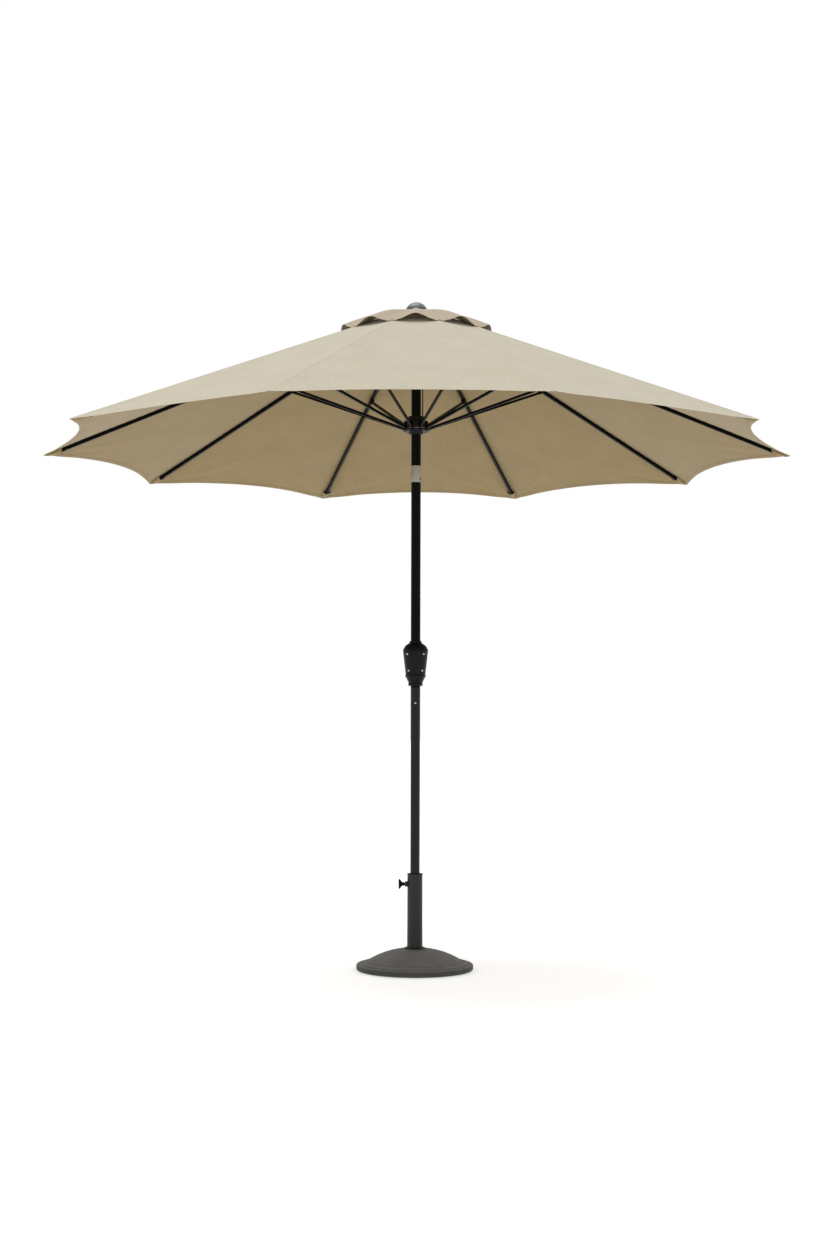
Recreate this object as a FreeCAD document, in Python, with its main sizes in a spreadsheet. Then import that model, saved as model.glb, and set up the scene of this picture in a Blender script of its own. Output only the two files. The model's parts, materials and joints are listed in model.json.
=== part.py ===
"""Patio umbrella with a domed foot: crank lift, push-button tilt, ten folding ribs and a vented canopy.

Frame: millimetres, +Z up, origin on the ground under the middle of the foot.  Rib 01 points along +X.
"""
import FreeCAD, Part
import math
import os

import Sketcher
from FreeCAD import Placement, Rotation, Vector

# Driving dimensions, in millimetres, degrees and counts.
SIZES = [
    # small shapes that many pieces share
    ("edge_break", 1),
    ("cut_spare", 1),
    # foot
    ("foot_diameter", 460),
    ("foot_rim_height", 26),
    ("foot_rim_bevel", 4),
    ("foot_shoulder_inset", 17),
    ("foot_shoulder_height", 29),
    ("foot_groove_radius", 190),
    ("foot_groove_width", 4),
    ("foot_groove_depth", 3),
    ("foot_groove_height", 36),
    ("foot_dome_radius", 320),
    ("foot_top_height", 85),
    ("foot_crown_width", 12),
    ("foot_socket_floor", 22),
    ("foot_web", 10),
    ("foot_recess_radius", 24),
    ("pad_count", 6),
    ("pad_radius", 14),
    ("pad_circle_radius", 195),
    ("pad_height", 2.5),
    # bolt that holds the tube to the foot
    ("foot_bolt_radius", 6),
    ("foot_bolt_length", 34),
    ("bolt_head_width", 20),
    ("bolt_head_height", 6.5),
    ("washer_radius", 20),
    ("washer_height", 1.5),
    ("nut_height", 10),
    ("bolt_hole_gap", 0.3),
    # foot tube, its collar, its plastic bush and its thumb screw
    ("tube_diameter", 61),
    ("tube_wall", 3),
    ("tube_top_height", 376),
    ("tube_floor", 6),
    ("collar_radius", 44),
    ("collar_height", 6),
    ("bush_lip_height", 3),
    ("bush_lip_overhang", 1),
    ("bush_skirt", 28),
    ("bush_gap", 0.5),
    ("screw_height", 337),
    ("screw_radius", 5),
    ("screw_gap", 0.08),
    ("screw_tip_gap", 0.3),
    ("boss_radius", 11),
    ("boss_reach", 9),
    ("screw_neck_length", 9),
    ("screw_neck_radius", 7.5),
    ("screw_head_length", 15),
    ("screw_head_radius", 20.5),
    ("screw_head_round", 2),
    ("screw_stand_off", 1.5),
    # pole
    ("pole_diameter", 38),
    ("pole_wall", 1.5),
    ("pole_foot_gap", 3),
    ("pole_split_height", 1112),
    ("pole_overlap", 150),
    ("pole_fit", 0.1),
    ("shoulder_length", 3),
    ("snap_height", 1050),
    ("snap_radius", 4),
    ("snap_reach", 3.5),
    ("snap_travel", 4),
    ("snap_flange", 2),
    ("snap_flange_radius", 6),
    ("snap_flange_gap", 0.4),
    ("snap_gap", 0.06),
    # crank housing
    ("housing_bottom", 1118),
    ("housing_foot_reach", 9.5),
    ("housing_foot_height", 12),
    ("housing_waist_reach", 20),
    ("housing_waist_height", 1160),
    ("housing_ridge", 2),
    ("housing_cove", 3),
    ("housing_cove_drop", 12),
    ("housing_belly_reach", 30.5),
    ("housing_belly_height", 1252),
    ("housing_belly_band", 10),
    ("housing_shoulder_reach", 22),
    ("housing_shoulder_height", 1277),
    ("housing_neck_reach", 5),
    ("housing_top", 1296),
    ("housing_wall", 3),
    ("housing_ring", 7),
    ("housing_bore_gap", 0.1),
    ("lug_radius", 5),
    ("lug_reach_top", 14),
    ("lug_height_top", 1243),
    ("lug_reach_low", 8),
    ("lug_height_low", 1178),
    ("lug_depth_top", 30),
    ("lug_depth_low", 22),
    ("lug_screw_radius", 2),
    ("lug_screw_head_radius", 4),
    ("lug_screw_head_height", 2.4),
    ("lug_screw_length", 42),
    # crank and its spool
    ("shaft_height", 1210),
    ("shaft_radius", 6),
    ("shaft_gap", 0.06),
    ("shaft_front_reach", 19),
    ("bearing_radius", 11),
    ("bearing_front_reach", 24),
    ("bearing_back_reach", 31),
    ("bearing_gap", 2),
    ("arm_stand_off", 6),
    ("arm_thickness", 6),
    ("arm_length", 85),
    ("arm_hub_radius", 11),
    ("arm_eye_radius", 9),
    ("arm_width", 13),
    ("rivet_radius", 3.5),
    ("rivet_head_radius", 6),
    ("rivet_head_height", 2),
    ("knob_gap", 0.06),
    ("knob_length", 46),
    ("knob_neck_radius", 9),
    ("knob_radius", 12.5),
    ("knob_end_gap", 0.8),
    ("knob_round", 6),
    ("window_half_width", 15.5),
    ("window_half_height", 17),
    ("spool_radius", 14.5),
    ("spool_core_radius", 10.4),
    ("spool_width", 9),
    ("spool_flange", 1.6),
    # lift cord
    ("cord_radius", 2.25),
    ("cord_plane", 8),
    ("cord_out", 26),
    ("cord_hole_radius", 3.3),
    ("cord_break", 2),
    ("cord_anchor_depth", 8),
    # tilt joint
    ("band_bottom", 1929),
    ("tilt_height", 1962),
    ("band_top", 1995),
    ("tilt_range", 30),
    ("tilt_spare", 1),
    ("knuckle_radius", 16),
    ("knuckle_gap", 0.3),
    ("tongue_half_width", 11),
    ("tilt_pin_radius", 4),
    ("tilt_pin_gap", 0.06),
    ("tilt_pin_inset", 0.8),
    ("spigot_length", 30),
    ("spigot_wall", 3),
    ("tilt_button_height", 1943),
    ("tilt_button_angle", -20),
    ("tilt_button_radius", 4.6),
    ("tilt_button_gap", 0.06),
    ("tilt_button_inner", 14.3),
    ("tilt_button_outer", 19.3),
    ("tilt_button_floor", 12.1),
    # top hub, pulley and finial
    ("rib_count", 10),
    ("hub_pin_radius", 45),
    ("hub_pin_height", 2572),
    ("hub_radius", 53),
    ("hub_half_height", 16),
    ("hub_core_radius", 36),
    ("hub_neck_radius", 26),
    ("hub_neck_drop", 42),
    ("hub_neck_rise", 4),
    ("hub_neck_flare", 8),
    ("hub_crown_radius", 34),
    ("hub_crown_rise", 34),
    ("hub_pole_seat", 20),
    ("slot_width", 10.8),
    ("wire_radius", 2),
    ("wire_gap", 0.05),
    ("pulley_rise", 18),
    ("pulley_radius", 15),
    ("pulley_width", 7),
    ("pulley_rim", 1.2),
    ("pulley_slot_width", 8.4),
    ("pulley_pin_radius", 2.5),
    ("pulley_pin_gap", 0.05),
    ("pulley_pin_length", 22),
    ("pulley_room", 3),
    ("pulley_groove_gap", 0.3),
    ("finial_seat_rise", 53.5),
    ("finial_radius", 41),
    ("finial_top_rise", 83),
    ("finial_edge", 5),
    ("finial_spacer_radius", 30),
    ("finial_stud_radius", 3.5),
    ("finial_stud_length", 18),
    # runner
    ("runner_bore_gap", 0.6),
    ("runner_rise", 30),
    ("runner_drop", 10),
    ("runner_neck_rise", 50),
    ("runner_neck_radius", 31),
    ("runner_collar_radius", 28.5),
    ("runner_collar_drop", 22),
    ("runner_round", 2),
    # ribs, measured along the open rib from the hub pin
    ("rib_slope", 21.9),
    ("rib_width", 10),
    ("rib_depth", 14),
    ("rib_tube_wall", 1),
    ("rib_root_rise", 35),
    ("rib_start", 10),
    ("rib_end", 1455),
    ("rib_root_foot", 26),
    ("eye_radius", 6),
    ("strut_pin_drop", 13),
    ("bracket_plate", 2),
    ("bracket_length", 30),
    ("rivet_end", 1),
    ("cap_plug", 12),
    ("cap_wall", 1),
    ("cap_length", 8),
    ("cap_neck_radius", 5.5),
    ("cap_ball_radius", 8),
    ("cap_pin_radius", 4),
    ("cap_pin_reach", 60),
    # struts
    ("strut_length", 630),
    ("strut_width", 8),
    ("strut_depth", 10),
    ("strut_tube_wall", 1),
    ("strut_eye_radius", 5),
    ("strut_end_length", 22),
    # fabric
    ("fabric_thickness", 0.7),
    ("fabric_rise", 1.4),
    ("seam_gap", 0.4),
    ("canopy_hole_radius", 170),
    ("canopy_hem_reach", 143),
    ("canopy_hem_bow", 80),
    ("canopy_hem_sag", 12),
    ("vent_inner_radius", 36),
    ("vent_inner_rise", 50),
    ("vent_hem_radius", 298),
    ("vent_hem_drop", 50),
    ("vent_hem_lift", 24),
    ("vent_hem_belly", 22),
]

# Places that follow from the driving dimensions.
PLACES = [
    ("pole_radius", "dims.pole_diameter / 2"),
    ("pole_bore", "dims.pole_diameter / 2 - dims.pole_wall"),
    ("tube_radius", "dims.tube_diameter / 2"),
    ("tube_bore", "dims.tube_diameter / 2 - dims.tube_wall"),
    ("insert_radius", "dims.pole_diameter / 2 - dims.pole_wall - dims.pole_fit"),
    ("insert_bore", "dims.pole_diameter / 2 - 2 * dims.pole_wall - dims.pole_fit"),
    ("bolt_top", "dims.foot_socket_floor - dims.foot_web + dims.foot_bolt_length"),
    ("pole_bottom", "dims.foot_socket_floor - dims.foot_web + dims.foot_bolt_length + dims.pole_foot_gap"),
    ("arm_plane", "dims.pole_diameter / 2 + dims.bearing_back_reach + dims.arm_stand_off"),
    ("knob_plane", "dims.pole_diameter / 2 + dims.bearing_back_reach + dims.arm_stand_off"
                   " + dims.arm_thickness + dims.knob_end_gap"),
    ("cord_wrap", "dims.spool_core_radius + dims.cord_radius"),
    ("pulley_pitch", "dims.cord_out / 2"),
    ("link_rise", "dims.rib_root_rise - dims.strut_pin_drop"),
    ("link_reach", "sqrt(dims.strut_length ^ 2 - (dims.rib_root_rise - dims.strut_pin_drop) ^ 2)"),
    ("link_angle", "90 - dims.rib_slope"
                   " + asin((dims.rib_root_rise - dims.strut_pin_drop) / dims.strut_length) / 1 deg"),
    ("housing_foot_radius", "dims.pole_diameter / 2 + dims.housing_foot_reach"),
    ("housing_waist_radius", "dims.pole_diameter / 2 + dims.housing_waist_reach"),
    ("housing_belly_radius", "dims.pole_diameter / 2 + dims.housing_belly_reach"),
    ("housing_shoulder_radius", "dims.pole_diameter / 2 + dims.housing_shoulder_reach"),
    ("housing_neck_radius", "dims.pole_diameter / 2 + dims.housing_neck_reach"),
    ("lug_spread_top", "dims.pole_diameter / 2 + dims.lug_reach_top"),
    ("lug_spread_low", "dims.pole_diameter / 2 + dims.lug_reach_low"),
    ("bearing_front", "dims.pole_diameter / 2 + dims.bearing_front_reach"),
    ("bearing_back", "dims.pole_diameter / 2 + dims.bearing_back_reach"),
    ("shaft_front", "dims.pole_diameter / 2 + dims.shaft_front_reach"),
    ("hub_crown_height", "dims.hub_pin_height + dims.hub_crown_rise"),
    ("pulley_height", "dims.hub_pin_height + dims.pulley_rise"),
    ("finial_seat_height", "dims.hub_pin_height + dims.finial_seat_rise"),
    ("finial_top_height", "dims.hub_pin_height + dims.finial_top_rise"),
    ("vent_inner_height", "dims.hub_pin_height + dims.vent_inner_rise"),
    ("vent_hem_height", "dims.hub_pin_height - dims.vent_hem_drop"),
    ("cap_pin_end", "dims.rib_end + dims.cap_pin_reach"),
    ("canopy_hem_radius", "dims.rib_end * cos(dims.rib_slope) + dims.canopy_hem_reach"),
]
LINKED_PLACES = [
    ("strut_pin_radius", "dims.hub_pin_radius + dims.strut_length * sin(places.link_angle)"),
    ("strut_pin_height", "dims.hub_pin_height - dims.strut_length * cos(places.link_angle)"),
    ("runner_pin_height", "dims.hub_pin_height - 2 * dims.strut_length * cos(places.link_angle)"),
    ("ridge_height", "dims.hub_pin_height + (dims.rib_root_rise + dims.rib_depth / 2) / cos(dims.rib_slope)"
                     " + dims.fabric_rise"),
]

doc = FreeCAD.newDocument("patio_umbrella")
dims = doc.addObject("Spreadsheet::Sheet", "dims")
places = doc.addObject("App::VarSet", "places")
nodes = []


def fill_sheets():
    """Write the driving dimensions to the sheet and bind the places that follow from them."""
    for row, (alias, size) in enumerate(SIZES, start=1):
        cell = "A%d" % row
        dims.set(cell, str(size))
        dims.setAlias(cell, alias)
    doc.recompute()
    for rank in (PLACES, LINKED_PLACES):
        for name, expression in rank:
            places.addProperty("App::PropertyFloat", name)
            places.setExpression(name, expression)
        doc.recompute()


def number(expression):
    """Value of an expression over the sheet, as a plain float."""
    result = dims.evalExpression(str(expression))
    return float(getattr(result, "Value", result))


def bind(thing, **expressions):
    """Bind properties to expressions over the sheet."""
    for name, expression in expressions.items():
        thing.setExpression(name, str(expression))
    return thing


def place(thing, x="0", y="0", z="0", yaw="0", pitch="0", roll="0"):
    """Bind a placement: shift along the row axes, and turns about Z, Y and X."""
    thing.setExpression("Placement", "create(<<placement>>; create(<<vector>>; %s; %s; %s); "
                                     "create(<<rotation>>; %s; %s; %s))" % (x, y, z, yaw, pitch, roll))
    return thing


def keep(thing, label):
    """Name a sub-part and list it for export."""
    thing.Label = label
    nodes.append(thing)
    return thing


# ---------------------------------------------------------------- sketches and bodies

def new_body(name):
    """Empty PartDesign body."""
    return doc.addObject("PartDesign::Body", name)


def add_sketch(body, plane, offset="0"):
    """Sketch on one of the body's own origin planes, moved along that plane's normal."""
    sketch = body.newObject("Sketcher::SketchObject", body.Name + "_sketch")
    support = [feature for feature in body.Origin.OriginFeatures if feature.Role == plane]
    sketch.AttachmentSupport = (support[0], [""])
    sketch.MapMode = "FlatFace"
    sketch.setExpression("AttachmentOffset.Base.z", offset)
    return sketch


def bent_edge(start, end, radius):
    """Arc between two points; a positive radius bends it anticlockwise, a negative one clockwise."""
    chord = end - start
    normal = Vector(-chord.y, chord.x, 0).normalize()
    rise = math.sqrt(radius ** 2 - (chord.Length / 2) ** 2)
    centre = (start + end) * 0.5 + normal * math.copysign(rise, radius)
    first, last = (start, end) if radius > 0 else (end, start)
    from_angle = math.atan2(first.y - centre.y, first.x - centre.x)
    to_angle = math.atan2(last.y - centre.y, last.x - centre.x)
    circle = Part.Circle(centre, Vector(0, 0, 1), abs(radius))
    return Part.ArcOfCircle(circle, from_angle, to_angle)


def add_outline(sketch, corners):
    """Closed outline. A corner is (x, y), or (x, y, radius) where the edge that leaves it is an arc."""
    points = [Vector(number(corner[0]), number(corner[1]), 0) for corner in corners]
    edges = []
    for index, corner in enumerate(corners):
        start, end = points[index], points[(index + 1) % len(points)]
        if len(corner) == 2:
            edges.append((sketch.addGeometry(Part.LineSegment(start, end), False), 1, 2))
        else:
            radius = number(corner[2])
            arc = sketch.addGeometry(bent_edge(start, end, radius), False)
            edges.append((arc, 1, 2) if radius > 0 else (arc, 2, 1))
    constraints, bindings = [], []
    for index, corner in enumerate(corners):
        edge, start, end = edges[index]
        following, following_start, _ = edges[(index + 1) % len(edges)]
        constraints.append(Sketcher.Constraint("Coincident", edge, end, following, following_start))
        for axis, expression, size in (("DistanceX", corner[0], points[index].x),
                                       ("DistanceY", corner[1], points[index].y)):
            bindings.append((len(constraints), expression))
            constraints.append(Sketcher.Constraint(axis, -1, 1, edge, start, size))
        if len(corner) == 3:
            bindings.append((len(constraints), "abs(%s)" % corner[2]))
            constraints.append(Sketcher.Constraint("Radius", edge, abs(number(corner[2]))))
    sketch.addConstraint(constraints)
    for index, expression in bindings:
        sketch.setExpression("Constraints[%d]" % index, str(expression))


def add_circle(sketch, x, y, radius):
    """Circle with its centre and radius bound to expressions."""
    centre = Vector(number(x), number(y), 0)
    edge = sketch.addGeometry(Part.Circle(centre, Vector(0, 0, 1), number(radius)), False)
    first = sketch.ConstraintCount
    sketch.addConstraint([
        Sketcher.Constraint("Radius", edge, number(radius)),
        Sketcher.Constraint("DistanceX", -1, 1, edge, 3, centre.x),
        Sketcher.Constraint("DistanceY", -1, 1, edge, 3, centre.y),
    ])
    for index, expression in enumerate((radius, x, y)):
        sketch.setExpression("Constraints[%d]" % (first + index), str(expression))


def add_turn(body, corners, angle=360, reverse=False):
    """Revolve an outline of (radius, height) corners about the body's Z axis."""
    sketch = add_sketch(body, "XZ_Plane")
    add_outline(sketch, corners)
    turn = body.newObject("PartDesign::Revolution", body.Name + "_turn")
    turn.Profile = sketch
    turn.ReferenceAxis = (sketch, ["V_Axis"])
    turn.Angle = angle
    turn.Reversed = reverse
    return turn


def add_pad(body, plane, outline=None, circles=(), offset="0", length="1", middle=False, reverse=False):
    """Pad an outline, or circles, from an origin plane."""
    sketch = add_sketch(body, plane, offset)
    if outline:
        add_outline(sketch, outline)
    for x, y, radius in circles:
        add_circle(sketch, x, y, radius)
    pad = body.newObject("PartDesign::Pad", body.Name + "_pad")
    pad.Profile = sketch
    pad.SideType = "Symmetric" if middle else "One side"
    pad.Reversed = reverse
    pad.setExpression("Length", length)
    return pad


def add_pocket(body, plane, outline=None, circles=(), offset="0", length="1", middle=False, reverse=False):
    """Cut an outline, or circles, and make sure that the cut takes material away."""
    doc.recompute()
    before = body.Shape.Volume
    sketch = add_sketch(body, plane, offset)
    if outline:
        add_outline(sketch, outline)
    for x, y, radius in circles:
        add_circle(sketch, x, y, radius)
    pocket = body.newObject("PartDesign::Pocket", body.Name + "_pocket")
    pocket.Profile = sketch
    pocket.SideType = "Symmetric" if middle else "One side"
    pocket.Reversed = reverse
    pocket.setExpression("Length", length)
    doc.recompute()
    if body.Shape.Volume >= before:
        raise RuntimeError("a pocket of %s cuts nothing" % body.Label)
    return pocket


def add_pattern(body, feature, count):
    """Repeat a feature about the body's Z axis."""
    pattern = body.newObject("PartDesign::PolarPattern", body.Name + "_pattern")
    pattern.Originals = [feature]
    pattern.Axis = ([axis for axis in body.Origin.OriginFeatures if axis.Role == "Z_Axis"][0], [""])
    pattern.Angle = 360
    pattern.setExpression("Occurrences", count)
    body.Tip = pattern
    return pattern


def turned(name, corners):
    """Body made by one full turn of an outline."""
    body = new_body(name)
    add_turn(body, corners)
    return body


def ring_corners(inner, outer, low, high):
    """Outline of a plain ring or tube."""
    return [(inner, low), (outer, low), (outer, high), (inner, high)]


# ---------------------------------------------------------------- primitives and booleans

def cylinder(name, radius, height, x="0", y="0", z="0", **turn):
    """Cylinder along +Z, then turned and shifted."""
    thing = bind(doc.addObject("Part::Cylinder", name), Radius=radius, Height=height)
    return place(thing, x, y, z, **turn)


def box(name, length, width, height, x="0", y="0", z="0", **turn):
    """Box with its low corner at the origin, then turned and shifted."""
    thing = bind(doc.addObject("Part::Box", name), Length=length, Width=width, Height=height)
    return place(thing, x, y, z, **turn)


def cut(name, base, tool):
    """Base less tool."""
    thing = doc.addObject("Part::Cut", name)
    thing.Base = base
    thing.Tool = tool
    return thing


def fuse(name, *shapes):
    """Union of shapes."""
    thing = doc.addObject("Part::MultiFuse", name)
    thing.Shapes = list(shapes)
    return thing


def common(name, *shapes):
    """What shapes share."""
    thing = doc.addObject("Part::MultiCommon", name)
    thing.Shapes = list(shapes)
    return thing


def group(name, *links):
    """Separate solids in one sub-part."""
    thing = doc.addObject("Part::Compound", name)
    thing.Links = list(links)
    return thing


def made(name, shape):
    """Sub-part whose shape is made by Part's own functions."""
    thing = doc.addObject("Part::Feature", name)
    thing.Shape = shape
    thing.Placement = Placement()
    return thing


# ---------------------------------------------------------------- foot

def make_foot():
    """Cast foot: rim with a bevelled step, a ring groove and a dome that rises to the tube socket."""
    groove_in = "dims.foot_groove_radius - dims.foot_groove_width / 2"
    groove_out = "dims.foot_groove_radius + dims.foot_groove_width / 2"
    web_bottom = "dims.foot_socket_floor - dims.foot_web"
    rim = "dims.foot_diameter / 2"
    foot = turned("foot", [
        ("dims.foot_bolt_radius + dims.bolt_hole_gap", web_bottom),
        ("dims.foot_recess_radius", web_bottom),
        ("dims.foot_recess_radius", "dims.pad_height"),
        (rim + " - dims.foot_rim_bevel", "dims.pad_height"),
        (rim, "dims.pad_height + dims.foot_rim_bevel"),
        (rim, "dims.foot_rim_height - dims.foot_rim_bevel"),
        (rim + " - dims.foot_rim_bevel", "dims.foot_rim_height"),
        (rim + " - dims.foot_shoulder_inset", "dims.foot_rim_height"),
        (rim + " - dims.foot_shoulder_inset", "dims.foot_shoulder_height"),
        (groove_out, "dims.foot_groove_height"),
        ("dims.foot_groove_radius", "dims.foot_groove_height - dims.foot_groove_depth"),
        (groove_in, "dims.foot_groove_height", "dims.foot_dome_radius"),
        ("places.tube_radius + dims.foot_crown_width", "dims.foot_top_height"),
        ("places.tube_radius", "dims.foot_top_height"),
        ("places.tube_radius", "dims.foot_socket_floor"),
        ("dims.foot_bolt_radius + dims.bolt_hole_gap", "dims.foot_socket_floor"),
    ])
    keep(foot, "base_weight")
    pads = []
    for index in range(int(number("dims.pad_count"))):
        angle = "%d * 360 / dims.pad_count" % index
        pads.append(cylinder("pad_%d" % index, "dims.pad_radius", "dims.pad_height",
                             "dims.pad_circle_radius * cos(%s)" % angle,
                             "dims.pad_circle_radius * sin(%s)" % angle))
    keep(group("pads", *pads), "base_feet")


def make_foot_bolt():
    """Hexagon bolt, washer and nut that clamp the tube's floor to the foot."""
    washer_low = "dims.foot_socket_floor - dims.foot_web - dims.washer_height"
    head_low = washer_low + " - dims.bolt_head_height"
    floor_top = "dims.foot_socket_floor + dims.tube_floor"
    head = bind(doc.addObject("Part::Prism", "bolt_head"), Circumradius="dims.bolt_head_width / 2",
                Height="dims.bolt_head_height")
    place(head, z=head_low)
    shank = cylinder("bolt_shank", "dims.foot_bolt_radius", "places.bolt_top - (%s)" % washer_low, z=washer_low)
    hole = cylinder("washer_hole", "dims.foot_bolt_radius", "dims.washer_height", z=washer_low)
    disc = cylinder("washer_disc", "dims.washer_radius", "dims.washer_height", z=washer_low)
    nut_blank = bind(doc.addObject("Part::Prism", "nut_blank"), Circumradius="dims.bolt_head_width / 2",
                     Height="dims.nut_height")
    place(nut_blank, z=floor_top)
    nut_hole = cylinder("nut_hole", "dims.foot_bolt_radius", "dims.nut_height", z=floor_top)
    bolt = fuse("bolt", head, shank)
    fixings = group("fixings", bolt, cut("washer", disc, hole), cut("nut", nut_blank, nut_hole))
    keep(fixings, "base_bolt_set")


def make_foot_tube():
    """Steel tube with a floor and a threaded boss for the thumb screw on its -X side."""
    tube = turned("tube", [
        ("dims.foot_bolt_radius + dims.bolt_hole_gap", "dims.foot_socket_floor"),
        ("places.tube_radius", "dims.foot_socket_floor"),
        ("places.tube_radius", "dims.tube_top_height"),
        ("places.tube_bore", "dims.tube_top_height"),
        ("places.tube_bore", "dims.foot_socket_floor + dims.tube_floor"),
        ("dims.foot_bolt_radius + dims.bolt_hole_gap", "dims.foot_socket_floor + dims.tube_floor"),
    ])
    inside = "places.tube_bore + dims.tube_wall / 4"
    outside = "places.tube_radius + dims.boss_reach"
    add_pad(tube, "YZ_Plane", circles=[("0", "dims.screw_height", "dims.boss_radius")],
            offset="-(%s)" % inside, length="%s - (%s)" % (outside, inside), reverse=True)
    add_pocket(tube, "YZ_Plane", circles=[("0", "dims.screw_height", "dims.screw_radius + dims.screw_gap")],
               offset="-(%s)" % outside, length="dims.boss_reach + 2 * dims.tube_wall", reverse=True)
    keep(tube, "base_tube")
    collar = turned("collar", [
        ("places.tube_radius", "dims.foot_top_height"),
        ("dims.collar_radius - dims.edge_break", "dims.foot_top_height"),
        ("dims.collar_radius - dims.edge_break", "dims.foot_top_height + dims.collar_height / 2"),
        ("places.tube_radius + dims.collar_height", "dims.foot_top_height + dims.collar_height"),
        ("places.tube_radius", "dims.foot_top_height + dims.collar_height"),
    ])
    keep(collar, "base_collar")


def make_bush():
    """Plastic bush that lines the mouth of the foot tube and guides the pole."""
    bore = "places.pole_radius + dims.bush_gap"
    bush = turned("bush", [
        (bore, "dims.tube_top_height - dims.bush_skirt"),
        ("places.tube_bore", "dims.tube_top_height - dims.bush_skirt"),
        ("places.tube_bore", "dims.tube_top_height"),
        ("places.tube_radius + dims.bush_lip_overhang", "dims.tube_top_height"),
        ("places.tube_radius + dims.bush_lip_overhang", "dims.tube_top_height + dims.bush_lip_height"),
        (bore, "dims.tube_top_height + dims.bush_lip_height"),
    ])
    keep(bush, "tube_bush")


def make_thumb_screw():
    """Thumb screw: a threaded shank and a flared head, along -X."""
    face = "places.tube_radius + dims.boss_reach + dims.screw_stand_off"
    tip = "places.pole_radius + dims.screw_tip_gap"
    neck_end = face + " + dims.screw_neck_length"
    head_end = neck_end + " + dims.screw_head_length"
    screw = turned("screw", [
        ("0", tip),
        ("dims.screw_radius", tip),
        ("dims.screw_radius", face),
        ("dims.screw_neck_radius", face),
        ("dims.screw_neck_radius", neck_end),
        ("dims.screw_head_radius", head_end + " - dims.screw_head_length / 3"),
        ("dims.screw_head_radius - dims.screw_head_round", head_end),
        ("0", head_end),
    ])
    keep(place(screw, z="dims.screw_height", pitch="-90"), "thumb_screw")


# ---------------------------------------------------------------- pole

def make_lower_pole():
    """Lower pole tube with the hole for the snap button in its front."""
    pole = turned("pole_low", ring_corners("places.pole_bore", "places.pole_radius",
                                           "places.pole_bottom", "dims.pole_split_height"))
    add_pocket(pole, "XZ_Plane", circles=[("0", "dims.snap_height", "dims.snap_radius + dims.snap_gap")],
               length="places.pole_radius + dims.cut_spare", reverse=True)
    keep(pole, "lower_pole")


def make_middle_pole():
    """Middle pole: a reduced end inside the lower pole, and a window for the cord spool."""
    split = "dims.pole_split_height"
    pole = turned("pole_mid", [
        ("places.insert_bore", split + " - dims.pole_overlap"),
        ("places.insert_radius", split + " - dims.pole_overlap"),
        ("places.insert_radius", split),
        ("places.pole_radius", split),
        ("places.pole_radius", "dims.band_bottom"),
        ("places.pole_bore", "dims.band_bottom"),
        ("places.pole_bore", split + " + dims.shoulder_length"),
        ("places.insert_bore", split),
    ])
    add_pocket(pole, "XZ_Plane", circles=[("0", "dims.snap_height", "dims.snap_radius + dims.snap_gap")],
               length="places.pole_radius + dims.cut_spare", reverse=True)
    low = "dims.shaft_height - dims.window_half_height"
    high = "dims.shaft_height + dims.window_half_height"
    add_pocket(pole, "XZ_Plane", middle=True, length="3 * dims.pole_diameter", outline=[
        ("-dims.window_half_width", low), ("dims.window_half_width", low),
        ("dims.window_half_width", high), ("-dims.window_half_width", high)])
    keep(pole, "middle_pole")


def make_snap_button():
    """Snap button: a domed pin with a flange inside the pole, along -Y."""
    flange = "sqrt(places.insert_bore ^ 2 - dims.snap_flange_radius ^ 2) - dims.snap_flange_gap"
    top = "places.pole_radius + dims.snap_reach"
    button = turned("snap", [
        ("0", flange + " - dims.snap_flange"),
        ("dims.snap_flange_radius", flange + " - dims.snap_flange"),
        ("dims.snap_flange_radius", flange),
        ("dims.snap_radius", flange),
        ("dims.snap_radius", top + " - dims.snap_radius / 2"),
        ("dims.snap_radius / 2", top),
        ("0", top),
    ])
    keep(place(button, z="dims.snap_height", roll="90"), "snap_button")


# ---------------------------------------------------------------- crank housing

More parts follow.
